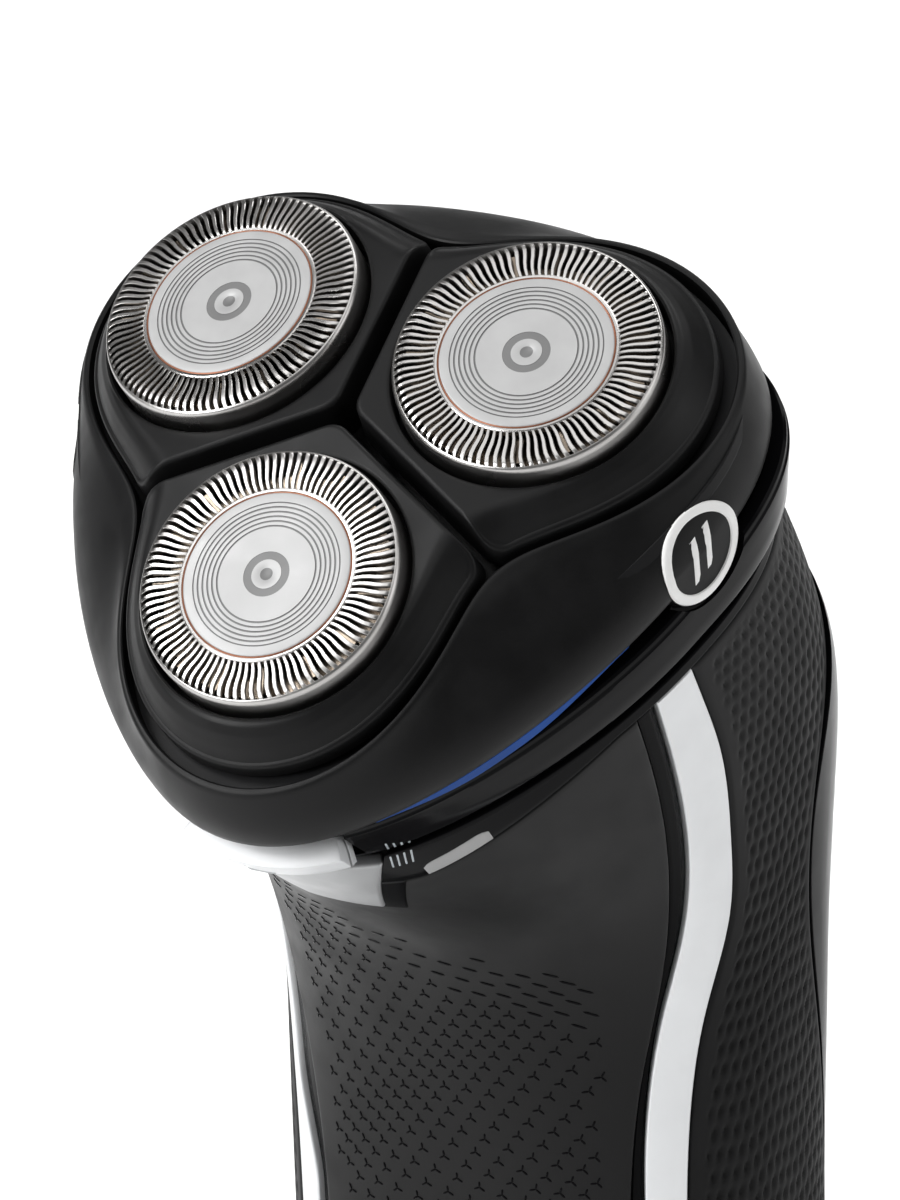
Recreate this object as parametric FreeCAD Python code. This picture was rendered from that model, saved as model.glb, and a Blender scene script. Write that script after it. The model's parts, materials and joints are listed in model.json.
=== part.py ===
import FreeCAD, Part
import math
import os
from FreeCAD import Vector

# Rotary electric shaver.  Millimetres, +Z up, origin at the centre of the flat base face.
# The front (release button, front panel) faces -Y and +X is the right-hand side seen from the front.
# Head parts are drawn in the head's own frame: origin between the three caps, level with their
# rims, z along the head's normal.  place_head() then tips and lifts them into the row frame.

HEAD_TILT = 27.0                       # degrees the head leans forward
HEAD_AT = Vector(0, -13, 146)          # centre of the three caps
UNITS = {"front": 0, "right": 120, "left": 240}
UNIT_RADIUS = 16.0                     # from the head's centre to each cap's centre
UNIT_TILT = 6.5                        # each cap leans outwards by this much
CAP_RADIUS = 11.3
DISC_RADIUS = 7.3
PETAL_HOLE = 11.75
PETAL_TOP = -2.2
PETAL_BASE = -6.8
PETAL_WALL = 1.3
GROOVE = 0.9                           # half the gap between two petals
PETAL_TILT_Y, PETAL_TILT_Z = 2.0, -5.0   # tilt axis in the unit's own frame, along x

SKIRT_TOP = -4.6
SKIRT_BASE = -13.8
COLLAR_TOP = -15.0
COLLAR_WALL = 1.5
COLLAR_BASE = -21.0
RIM_BASE = -22.2
HINGE_Y, HINGE_Z, HINGE_R = 25.2, -14.6, 1.9
PIN_R, RUNNING = 1.0, 0.05

BADGE_AT, BADGE_NORMAL, BADGE_R = (29.9, -0.6, -12.6), (0.9, -0.1, 0.36), 4.4

SKIN = 1.2                             # thickness of the trim laid on the housings
SHELL = 2.8                            # trim plus housing wall
BASE_HEIGHT = 6.0

SUN_TEETH, GEAR_TEETH = 24, 36
MODULE = 2 * UNIT_RADIUS / (SUN_TEETH + GEAR_TEETH)
GEAR_LOW, GEAR_HIGH = -20.2, -18.2
TRAY_LOW, TRAY_FLOOR = -17.2, -16.2
PLATE_BASE, PLATE_TOP = -22.8, -21.4    # plate the gears stand on
SPINDLE_R = 1.6
SPINDLE_TOP = -5.3

BUTTON_Z = 50.0                        # height of the power button on the handle
SOCKET_Y = 5.5

# Cross-sections of the handle from the collar down: tilt of the section in degrees, its centre
# (y, z) from HEAD_AT, half width, front depth, back depth, taper towards the front, and the
# squareness of the front and of the back half.
HANDLE_SECTIONS = [
    (27, 6.2, -21.0, 27.5, 26.5, 25.5, 0.36, 2.15, 2.15),
    (17, 14.5, -33.0, 26.8, 26.3, 23.2, 0.24, 2.25, 2.3),
    (4, 21.5, -50.0, 24.9, 23.5, 19.8, 0.08, 2.15, 2.6),
    (0, 22.6, -62.0, 23.8, 22.0, 16.3, 0, 2.1, 2.8),
    (0, 20.3, -72.7, 23.6, 19.2, 16.0, 0, 2.25, 2.8),
    (0, 16.5, -90.0, 23.4, 16.6, 15.8, 0, 2.5, 2.8),
    (0, 13.8, -112.0, 23.0, 15.5, 15.5, 0, 2.8, 2.8),
    (0, 13.0, -135.0, 22.3, 15.0, 15.0, 0, 2.8, 2.8),
    (0, 13.0, -144.5, 21.2, 14.0, 14.0, 0, 2.8, 2.8),
    (0, 13.0, -146.0, 19.4, 12.2, 12.2, 0, 2.8, 2.8)]

# Edges of the side trim as (u, z).  u runs across the oblique direction, so x = y = u / sqrt(2).
OBLIQUE = Vector(1, -1, 0).normalize()
BAND_EDGE = [(5.4, 131), (7.2, 124), (8.6, 118), (10.3, 108), (10.8, 98), (9.8, 89.3), (6.7, 78.5),
             (3.6, 62), (2.6, 45), (3.4, 28), (5.0, 0)]
STRIP_FRONT = [(7.4, 131), (9.2, 124), (10.3, 119), (11.9, 110), (12.6, 102), (11.8, 93), (9.1, 84.5),
               (6.1, 72.4), (4.4, 55), (4.0, 40), (4.7, 26), (6.2, 0)]
STRIP_BACK = [(11.2, 131), (13.2, 124), (14.8, 118), (16.2, 112), (17.0, 100), (16.3, 92), (13.3, 84),
              (9.6, 70), (7.6, 55), (6.6, 40), (6.6, 26), (7.6, 0)]
# Side-view edges as (y, z): behind the grip the back shell shows; the split parts the housings.
GRIP_BACK = [(10.5, 0), (11, 40), (12, 75), (12.5, 98), (15, 109), (17, 117), (16, 124), (12, 131)]
SPLIT = [(0, 0), (2, 40), (5, 75), (4, 100), (0, 120), (-4, 140)]
BAND_SINK = 0.5                        # the dark band lies this much lower than its neighbours
FAR = 60.0                             # half size of cutting blocks

PLATE_HALF, PLATE_LOW, PLATE_HIGH = 5.2, 105.6, 114.5   # small front plate under the button
LENS_HALF, LENS_LOW, LENS_HIGH = 3.5, 34.2, 35.6
BUTTON_R, BUTTON_GAP = 7.0, 0.3

# Pop-up trimmer in the back: its hinge (y, z) and radius, top edge, half width, comb plate.
TRIM_Y, TRIM_Z, TRIM_R, TRIM_TOP, TRIM_HALF = 20.2, 76.0, 3.2, 104.0, 11.0
TRIM_SWING = 1.1                       # extra room below the hinge for the cover's lower edge
COMB_HALF, COMB_LOW, COMB_Y0, COMB_Y1 = 10.2, 84.0, 22.2, 23.0
TOOTH_PITCH, TOOTH_GAP = 1.5, 0.8

SCREW_SPOTS = [(-19, -2), (19, -2), (-9, 15.5), (9, 15.5)]
BASE_SCREW_X, BASE_SCREW_Y = 12.5, -5.0
CELL_R, CELL_Y, CELL_LOW, CELL_HIGH = 7.0, 2.2, 20.0, 69.0

nodes = {}


# ---- small helpers ------------------------------------------------------------------------

def box(x0, x1, y0, y1, z0, z1):
    return Part.makeBox(x1 - x0, y1 - y0, z1 - z0, Vector(x0, y0, z0))


def rod(radius, start, end):
    start, end = Vector(*start), Vector(*end)
    return Part.makeCylinder(radius, (end - start).Length, start, end - start)


def tube(outer, inner, start, end):
    return rod(outer, start, end).cut(rod(inner, start, end))


def hinge_rod(radius, x0, x1):
    return rod(radius, (x0, HINGE_Y, HINGE_Z), (x1, HINGE_Y, HINGE_Z))


def place_head(shape):
    placed = shape.copy()
    placed.rotate(Vector(0, 0, 0), Vector(1, 0, 0), HEAD_TILT)
    placed.translate(HEAD_AT)
    return placed


def place_unit(shape, turn, tilt=UNIT_TILT):
    placed = shape.copy()
    placed.rotate(Vector(0, 0, 0), Vector(1, 0, 0), tilt)
    placed.translate(Vector(0, -UNIT_RADIUS, 0))
    placed.rotate(Vector(0, 0, 0), Vector(0, 0, 1), turn)
    return place_head(placed)


def mirrored(shape):
    return shape.mirror(Vector(0, 0, 0), Vector(1, 0, 0))


def closed_wire(points):
    curve = Part.BSplineCurve()
    curve.interpolate([Vector(*p) for p in points], PeriodicFlag=True)
    return Part.Wire(curve.toShape())


def prism(points, direction):
    return Part.Face(Part.makePolygon(points + points[:1])).extrude(direction)


# ---- outlines -----------------------------------------------------------------------------

def egg(half_width, front, back, taper, square=2.0, centre=0.0, count=24, back_square=None):
    """Points of an egg-shaped outline, narrow towards the front (-y)."""
    points = []
    for i in range(count):
        a = 2 * math.pi * i / count
        s, c = math.sin(a), math.cos(a)
        power = 2 / (square if c > 0 else back_square or square)
        s = math.copysign(abs(s) ** power, s)
        c = math.copysign(abs(c) ** power, c)
        y = -front * c if c > 0 else -back * c
        points.append((half_width * s * (1 - taper * c), centre + y))
    return points


def lobed(grow=0.0, count=36):
    """Three-lobed outline round the outside of the three petals."""
    points = []
    for i in range(count):
        a = 2 * math.pi * i / count
        r = 26.3 + 6.2 * math.cos(3 * a) - 0.5 * math.cos(6 * a) + grow
        points.append((r * math.sin(a), -r * math.cos(a)))
    return points


def at_height(points, z):
    return [(x, y, z) for x, y in points]


def slab(points, z0, z1):
    return Part.Face(closed_wire(at_height(points, z0))).extrude(Vector(0, 0, z1 - z0))


def skirt_outline(grow=0.0, count=36):
    return egg(30.6 + grow, 33.8 + grow, 26.5 + grow, 0.3, 2.1, count=count)


def collar_outline(grow=0.0):
    return egg(28.4 + grow, 28.2 + grow, 27.5 + grow, 0.35, 2.1, centre=-4)


def handle_loft(inset):
    wires = []
    for tilt, y0, z0, width, front, back, taper, square, back_square in HANDLE_SECTIONS:
        t = math.radians(tilt)
        outline = egg(width - inset, front - inset, back - inset, taper, square,
                      back_square=back_square)
        wires.append(closed_wire([(x, HEAD_AT.y + y0 + y * math.cos(t),
                                   HEAD_AT.z + z0 + y * math.sin(t)) for x, y in outline]))
    return Part.makeLoft(wires, True, False)


# ---- shaving head: skirt, frame, petals -----------------------------------------------------

def blend(first, second, share):
    return [(a * (1 - share) + c * share, b * (1 - share) + d * share)
            for (a, b), (c, d) in zip(first, second)]


def skirt_body(inset):
    """Solid from the slim band at the bottom up to the lip round the petals."""
    base, lip = skirt_outline(-inset), lobed(1.1 - inset)
    levels = [(base, SKIRT_BASE), (base, SKIRT_BASE + 2.2),
              (blend(base, lip, 0.25), SKIRT_BASE + 5.0), (lip, SKIRT_TOP)]
    wires = [closed_wire(at_height(points, z)) for points, z in levels]
    return Part.makeLoft(wires, True, False)


def head_skirt():
    skirt = skirt_body(0).cut(skirt_body(1.6))
    skirt = skirt.cut(slab(lobed(0.4), SKIRT_BASE + 3, 0))
    web = box(-6, 6, HINGE_Y - 1.6, HINGE_Y, HINGE_Z, SKIRT_BASE + 1.5)
    knuckle = hinge_rod(HINGE_R, -6, 6).fuse(web)
    for side in (-1, 1):
        skirt = skirt.cut(hinge_rod(HINGE_R + 0.35, side * 6.0, side * 9.8))
    seat = badge_rod(BADGE_R, -1.6, 6)
    skirt = skirt.cut(seat).cut(mirrored(seat))
    return skirt.fuse(knuckle).cut(hinge_rod(PIN_R + RUNNING, -6.5, 6.5)).removeSplitter()


def wedge(inset, z0, z1):
    """Third of the head between two groove lines, in head coordinates, front unit."""
    gap = GROOVE + inset
    reach = 60.0
    tip = Vector(0, -gap / math.sin(math.radians(60)), z0)
    side = Vector(math.sin(math.radians(60)) * reach, -math.cos(math.radians(60)) * reach, 0)
    corner = Vector(-side.x, side.y, 0)
    points = [tip, tip + side, Vector(side.x, -reach, z0), Vector(-side.x, -reach, z0), tip + corner]
    return prism(points, Vector(0, 0, z1 - z0))


def petal_prism(inset, z0, z1):
    """Petal outline extruded in the unit's own frame, whose origin is the cap's centre."""
    shape = slab(lobed(-inset), z0, z1).common(wedge(inset, z0, z1))
    shape.translate(Vector(0, UNIT_RADIUS, 0))
    return shape


def petal():
    block = petal_prism(0, -12, PETAL_TOP)
    top = [e for e in block.Edges if abs(e.BoundBox.ZMin - PETAL_TOP) < 1e-3]
    block = block.makeChamfer(0.7, top)
    hollow = petal_prism(PETAL_WALL, -13, PETAL_TOP - PETAL_WALL)
    hollow = hollow.cut(rod(PETAL_HOLE + 0.7, (0, 0, -14), (0, 0, 0)))
    pins = rod(0.7, (-17, PETAL_TILT_Y, PETAL_TILT_Z), (17, PETAL_TILT_Y, PETAL_TILT_Z))
    pins = pins.common(petal_prism(0.5, -9, -3))
    shape = block.cut(hollow).fuse(pins).cut(rod(PETAL_HOLE, (0, 0, -14), (0, 0, 0)))
    floor = box(-30, 30, -30, 30, -30, PETAL_BASE)
    floor.rotate(Vector(0, 0, 0), Vector(1, 0, 0), -UNIT_TILT)
    return shape.cut(floor)


def head_frame():
    """Carrier plate below the petals, with posts for the petals' pins and the latch hook."""
    low, high = -9.4, -8.4
    frame = slab(skirt_outline(-1.7), low, high).common(skirt_body(1.6))
    for turn in UNITS.values():
        hole = rod(8.2, (0, -UNIT_RADIUS, low - 1), (0, -UNIT_RADIUS, high + 1))
        hole.rotate(Vector(0, 0, 0), Vector(0, 0, 1), turn)
        frame = frame.cut(hole)
        for side in (-1, 1):
            post = box(13.2, 14.2, PETAL_TILT_Y - 1.1, PETAL_TILT_Y + 1.1, -9.0, -3.9)
            bore = rod(0.76, (13, PETAL_TILT_Y, PETAL_TILT_Z), (15, PETAL_TILT_Y, PETAL_TILT_Z))
            post = post.cut(bore)
            if side < 0:
                post = mirrored(post)
            post.rotate(Vector(0, 0, 0), Vector(1, 0, 0), UNIT_TILT)
            post.translate(Vector(0, -UNIT_RADIUS, 0))
            post.rotate(Vector(0, 0, 0), Vector(0, 0, 1), turn)
            frame = frame.fuse(post)
    hook = box(-2.5, 2.5, -28.5, -27.7, -18.2, low).fuse(box(-2.5, 2.5, -28.8, -27.7, -18.2, -17.4))
    frame = frame.fuse(hook)
    for seat in (badge_rod(BADGE_R + 0.1, -2, 6), mirrored(badge_rod(BADGE_R + 0.1, -2, 6))):
        frame = frame.cut(seat)
    return frame.removeSplitter()


def retaining_frame():
    """Three rings and a hub that hold the cutters up from below."""
    low, high = -10.8, -9.8
    shape = rod(3.5, (0, 0, low), (0, 0, high))
    for turn in UNITS.values():
        arm = box(-1.5, 1.5, -UNIT_RADIUS, 0, low, high)
        arm = arm.fuse(rod(6.6, (0, -UNIT_RADIUS, low), (0, -UNIT_RADIUS, high)))
        arm.rotate(Vector(0, 0, 0), Vector(0, 0, 1), turn)
        shape = shape.fuse(arm)
    for turn in UNITS.values():
        hole = rod(4.6, (0, -UNIT_RADIUS, low - 1), (0, -UNIT_RADIUS, high + 1))
        hole.rotate(Vector(0, 0, 0), Vector(0, 0, 1), turn)
        shape = shape.cut(hole)
    posts = [rod(1.0, (8 * math.cos(a), 8 * math.sin(a), low), (8 * math.cos(a), 8 * math.sin(a), -9.4))
             for a in (math.radians(30 + 120 * k) for k in range(3))]
    for post in posts:
        shape = shape.fuse(post)
    return shape.removeSplitter()


def badge_rod(radius, inner, outer):
    """Cylinder along the badge's own axis, from inner to outer measured from its face."""
    face, out = Vector(*BADGE_AT), Vector(*BADGE_NORMAL).normalize()
    return rod(radius, tuple(face + out * inner), tuple(face + out * outer))


def badge():
    rim = badge_rod(BADGE_R, -1.6, 0.3).cut(badge_rod(BADGE_R - 1.0, -0.1, 1))
    return rim.removeSplitter()


# ---- cap, cutter, spindle -------------------------------------------------------------------

def cap():
    plate = tube(CAP_RADIUS, DISC_RADIUS, (0, 0, -0.6), (0, 0, 0))
    wall = tube(CAP_RADIUS, CAP_RADIUS - 0.6, (0, 0, -3.6), (0, 0, 0))
    shape = plate.fuse(wall).removeSplitter()
    rim = [e for e in shape.Edges if abs(e.BoundBox.ZMin) < 1e-3 and e.BoundBox.XLength > 2 * CAP_RADIUS - 1]
    return shape.makeFillet(0.35, rim)


def cap_disc():
    plate = rod(DISC_RADIUS, (0, 0, -0.6), (0, 0, 0.05))
    return plate.fuse(tube(2.4, 1.6, (0, 0, -1.6), (0, 0, -0.6)))


def cutter():
    blades = 15
    shape = tube(9.9, 3.0, (0, 0, -3.4), (0, 0, -2.4)).fuse(rod(4.2, (0, 0, -6.5), (0, 0, -2.4)))
    for i in range(blades):
        blade = box(7.9, 10.3, -0.3, 0.3, -2.6, -0.75)
        blade.rotate(Vector(0, 0, 0), Vector(0, 0, 1), 360 / blades * i)
        shape = shape.fuse(blade)
    return shape.cut(rod(2.8, (0, 0, -7), (0, 0, -3.9))).removeSplitter()


def spindle():
    """Drive spindle along the head's normal, with a three-sided tip."""
    shaft = rod(SPINDLE_R, (0, 0, GEAR_LOW - 1.6), (0, 0, -7))
    corners = [Vector(1.9 * math.cos(a), 1.9 * math.sin(a), -7.6)
               for a in (math.radians(120 * k) for k in range(3))]
    tip = prism(corners, Vector(0, 0, SPINDLE_TOP + 7.6)).fuse(rod(1.1, (0, 0, -7.6), (0, 0, SPINDLE_TOP)))
    sleeve = rod(2.6, (0, 0, -12.8), (0, 0, -8.0))
    return shaft.fuse(tip).fuse(sleeve).removeSplitter()


def gear(teeth, bore, phase):
    """Spur gear with straight-flanked teeth, a little thinner than the gaps between them."""
    pitch_r = MODULE * teeth / 2
    step = 2 * math.pi / teeth
    points = []
    for i in range(teeth):
        centre = phase + i * step
        for r, share in ((pitch_r - 0.6, -0.31), (pitch_r + 0.42, -0.13),
                         (pitch_r + 0.42, 0.13), (pitch_r - 0.6, 0.31)):
            a = centre + share * step
            points.append(Vector(r * math.cos(a), r * math.sin(a), GEAR_LOW))
    return prism(points, Vector(0, 0, GEAR_HIGH - GEAR_LOW)).cut(
        rod(bore, (0, 0, GEAR_LOW - 1), (0, 0, GEAR_HIGH + 1)))


def add_units():
    half_step = math.pi / GEAR_TEETH
    for name, turn in UNITS.items():
        nodes["petal_" + name] = place_unit(petal(), turn)
        nodes["cap_" + name] = place_unit(cap(), turn)
        nodes["cap_disc_" + name] = place_unit(cap_disc(), turn)
        nodes["cutter_" + name] = place_unit(cutter(), turn)
        nodes["spindle_" + name] = place_unit(spindle(), turn, 0)
        nodes["gear_" + name] = place_unit(gear(GEAR_TEETH, SPINDLE_R, math.pi / 2 + half_step), turn, 0)


# ---- drive ----------------------------------------------------------------------------------

def add_drive():
    sun = gear(SUN_TEETH, 1.0, math.pi / 2)
    nodes["sun_pinion"] = place_head(sun)
    top = PLATE_BASE - 1.0
    nodes["motor_shaft"] = place_head(rod(1.0, (0, 0, top - 3), (0, 0, GEAR_HIGH + 0.6)))
    can = rod(10, (0, 0, top - 22), (0, 0, top)).fuse(rod(3, (0, 0, top), (0, 0, PLATE_BASE)))
    nodes["motor"] = place_head(can.cut(rod(1.05, (0, 0, top - 3.3), (0, 0, PLATE_TOP))))
    cup = tube(11.4, 3.0, (0, 0, top - 15), (0, 0, PLATE_BASE))
    for k in range(3):
        slot = box(-3.5, 3.5, 5, 15, top - 12.5, top - 2)
        slot.rotate(Vector(0, 0, 0), Vector(0, 0, 1), 120 * k)
        cup = cup.cut(slot)
    nodes["motor_bracket"] = place_head(cup.cut(rod(10, (0, 0, top - 23), (0, 0, top))))


def gear_plate(cavity):
    plate = cavity.common(place_head(box(-40, 40, -40, 40, PLATE_BASE, PLATE_TOP)))
    holes = [rod(3.2, (0, 0, -25), (0, 0, -15))]
    for turn in UNITS.values():
        hole = rod(SPINDLE_R + RUNNING, (0, -UNIT_RADIUS, -25), (0, -UNIT_RADIUS, -15))
        hole.rotate(Vector(0, 0, 0), Vector(0, 0, 1), turn)
        holes.append(hole)
    for hole in holes + screw_shanks(0.9):
        plate = plate.cut(place_head(hole))
    return plate


def screw_shanks(radius):
    return [rod(radius, (x, y, PLATE_BASE - 1.6), (x, y, PLATE_TOP)) for x, y in SCREW_SPOTS]


def plate_screws():
    group = []
    for x, y in SCREW_SPOTS:
        head = rod(1.7, (x, y, PLATE_TOP), (x, y, PLATE_TOP + 0.8))
        slot = box(x - 1.8, x + 1.8, y - 0.2, y + 0.2, PLATE_TOP + 0.4, PLATE_TOP + 1)
        shank = rod(0.9, (x, y, PLATE_BASE - 1.6), (x, y, PLATE_TOP))
        group.append(place_head(head.cut(slot).fuse(shank)))
    return Part.makeCompound(group)


# ---- collar and what sits on top of the handle ------------------------------------------------

def release_window(grow):
    return box(-6.3 - grow, 6.3 + grow, -40, -24, -19.6 - grow, -16.4 + grow)


def collar_solid(grow):
    """Collar wall from the body's top section up to its own wider top edge."""
    low = egg(27.5 + grow, 26.5 + grow, 25.5 + grow, 0.36, 2.15, centre=-4)
    wires = [closed_wire(at_height(low, COLLAR_BASE)),
             closed_wire(at_height(collar_outline(grow), COLLAR_TOP))]
    return Part.makeLoft(wires, True, True)


def collar():
    shape = collar_solid(0).cut(collar_solid(-COLLAR_WALL))
    for side in (-1, 1):
        ear = hinge_rod(HINGE_R, side * 6.35, side * 9.4)
        block = box(*sorted((side * 6.35, side * 9.4)), 22, HINGE_Y, -16.5, HINGE_Z)
        shape = shape.fuse(ear).fuse(block)
    shape = shape.cut(hinge_rod(PIN_R, -9.4, 9.4)).cut(hinge_rod(HINGE_R + 0.35, -6.35, 6.35))
    return clear_badges(shape.cut(release_window(0.3))).removeSplitter()


def clear_badges(shape):
    """Room for the badges, which hang over the collar from the head."""
    room = badge_rod(BADGE_R + 0.4, -2.2, 6)
    return shape.cut(room).cut(mirrored(room))


def accent_ring():
    ring = slab(skirt_outline(-0.9), COLLAR_TOP, -14.2).cut(slab(skirt_outline(-2.4), COLLAR_TOP - 1, -13))
    return clear_badges(ring.cut(box(-10, 10, 20, 30, -16, -12)))


def hair_chamber():
    """Open tray that catches the hair, with a raised boss round each spindle."""
    floor = slab(egg(26.9, 26.7, 26.0, 0.35, 2.1, centre=-4), TRAY_LOW, TRAY_FLOOR)
    floor = floor.common(collar_solid(-COLLAR_WALL))
    wall_out = egg(26.0, 29.3, 21.2, 0.3, 2.1)
    wall_in = egg(24.8, 28.1, 20.0, 0.3, 2.1)
    shape = floor.fuse(slab(wall_out, TRAY_LOW, -9.8)).cut(slab(wall_in, TRAY_FLOOR, -9))
    for turn in UNITS.values():
        hole = rod(SPINDLE_R + RUNNING, (0, -UNIT_RADIUS, TRAY_LOW - 1), (0, -UNIT_RADIUS, -12))
        boss = rod(3.2, (0, -UNIT_RADIUS, TRAY_LOW), (0, -UNIT_RADIUS, -13.2)).cut(hole)
        for piece in (boss, hole):
            piece.rotate(Vector(0, 0, 0), Vector(0, 0, 1), turn)
        shape = shape.fuse(boss).cut(hole)
    hook_gap = box(-3.2, 3.2, -34, -27.2, TRAY_LOW - 1, -9)
    button_gap = box(-6.9, 6.9, -40, -26.8, TRAY_LOW - 1, TRAY_FLOOR + 0.1)
    return shape.cut(hook_gap).cut(button_gap).removeSplitter()


def release_button():
    return collar_solid(0.8).cut(collar_solid(-COLLAR_WALL)).common(release_window(0))


def add_top():
    nodes["collar"] = place_head(collar())
    nodes["accent_ring"] = place_head(accent_ring())
    nodes["hair_chamber"] = place_head(hair_chamber())
    nodes["release_button"] = place_head(release_button())
    nodes["hinge_pin"] = place_head(hinge_rod(PIN_R, -9.4, 9.4))


# ---- handle: housings, trim, grips ------------------------------------------------------------

def oblique_prism(front_edge, back_edge):
    """Right-hand region between two (u, z) edges; a number stands for a straight edge."""
    def lift(u, z):
        return Vector(u / math.sqrt(2), u / math.sqrt(2), z)
    edges, ends = [], []
    for edge in (front_edge, back_edge):
        points = [lift(*p) for p in (edge if isinstance(edge, list) else [(edge, 131), (edge, 0)])]
        ends.append((points[0], points[-1]))
        spline = Part.BSplineCurve()
        spline.interpolate(points)
        edges.append(spline.toShape())
    edges += [Part.makeLine(ends[0][k], ends[1][k]) for k in (0, 1)]
    return Part.Face(Part.Wire(Part.__sortEdges__(edges))).extrude(OBLIQUE * 60)


def behind(edge):
    """Everything behind a side-view edge, over the whole width."""
    points = [Vector(-40, y, z) for y, z in edge]
    spline = Part.BSplineCurve()
    spline.interpolate(points)
    corners = [points[-1], Vector(-40, 60, edge[-1][1]), Vector(-40, 60, edge[0][1]), points[0]]
    lines = [Part.makeLine(a, b) for a, b in zip(corners, corners[1:])]
    wire = Part.Wire(Part.__sortEdges__([spline.toShape()] + lines))
    top = box(-40, 40, edge[-1][0], 60, edge[-1][1], 170)
    return Part.Face(wire).extrude(Vector(80, 0, 0)).fuse(top)


def button_rod(radius, y0, y1):
    return rod(radius, (0, y0, BUTTON_Z), (0, y1, BUTTON_Z))


def add_handle():
    outer, under, cavity = handle_loft(0), handle_loft(SKIN), handle_loft(SHELL)
    above_rim = place_head(box(-60, 60, -60, 60, RIM_BASE, 40))
    above_base = box(-60, 60, -60, 60, BASE_HEIGHT, 170)
    skin = outer.cut(under).cut(above_rim).common(above_base)
    shell = under.cut(cavity).common(above_base)
    rear = behind(GRIP_BACK)
    sunk = handle_loft(BAND_SINK).cut(under).cut(above_rim).common(above_base)
    cutters = {"strip": oblique_prism(STRIP_FRONT, STRIP_BACK), "grip": oblique_prism(STRIP_BACK, 60),
               "band": oblique_prism(BAND_EDGE, STRIP_FRONT), "front": oblique_prism(-60, BAND_EDGE)}
    sides = {"right": box(0, 60, -60, 60, 0, 170), "left": box(-60, 0, -60, 60, 0, 170)}
    halves = []
    for side, half in sides.items():
        trim, sunk_half = skin.common(half).cut(rear), sunk.common(half)
        for name, cutter in cutters.items():
            layer = sunk_half if name == "band" else trim
            piece = layer.common(cutter if side == "right" else mirrored(cutter))
            if name == "front":
                halves.append(piece)
            else:
                nodes[name + "_" + side] = piece
    nodes["top_rim"] = outer.cut(under).common(above_rim)
    front = halves[0].fuse(halves[1])
    plate_block = box(-PLATE_HALF, PLATE_HALF, -60, 0, PLATE_LOW, PLATE_HIGH)
    nodes["front_plate"] = skin.common(plate_block)
    lens_block = box(-LENS_HALF, LENS_HALF, -FAR, 0, LENS_LOW, LENS_HIGH)
    nodes["led_lens"] = skin.common(lens_block)
    opening = button_rod(BUTTON_R + BUTTON_GAP, -FAR, 0)
    nodes["front_panel"] = front.cut(plate_block).cut(lens_block).cut(opening).removeSplitter()

    back_half = behind(SPLIT)
    nodes["front_housing"] = shell.cut(back_half).cut(button_rod(BUTTON_R + 0.8, -FAR, -6))
    back = shell.common(back_half).fuse(skin.common(rear))
    add_trimmer(outer, under, back)
    add_power_button(outer)
    nodes["gear_plate"] = gear_plate(cavity)
    add_base(outer)


def add_power_button(outer):
    button = outer.common(button_rod(BUTTON_R, -FAR, -11.2)).fuse(button_rod(2.0, -12, -9.7))
    ridge = button_rod(5.2, -40, -12.6).cut(button_rod(4.6, -50, -10))
    nodes["power_button"] = button.cut(ridge.common(outer)).fuse(
        button_rod(5.2, -12.8, -12)).removeSplitter()
    board = box(-10, 10, -7.6, -6.4, 20, 58).fuse(box(-2.5, 2.5, -9.0, -7.6, BUTTON_Z - 2.5, BUTTON_Z + 2.5))
    for x, z, w, h in ((-6, 25, 5, 4), (5, 27, 4, 6), (-6, 39, 3, 5), (6, 40, 4, 3)):
        board = board.fuse(box(x - w / 2, x + w / 2, -8.3, -7.6, z - h / 2, z + h / 2))
    nodes["circuit_board"] = board.removeSplitter()


# ---- pop-up trimmer in the back ------------------------------------------------------------------


def trim_rod(radius, x0, x1):
    return rod(radius, (x0, TRIM_Y, TRIM_Z), (x1, TRIM_Y, TRIM_Z))


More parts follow.
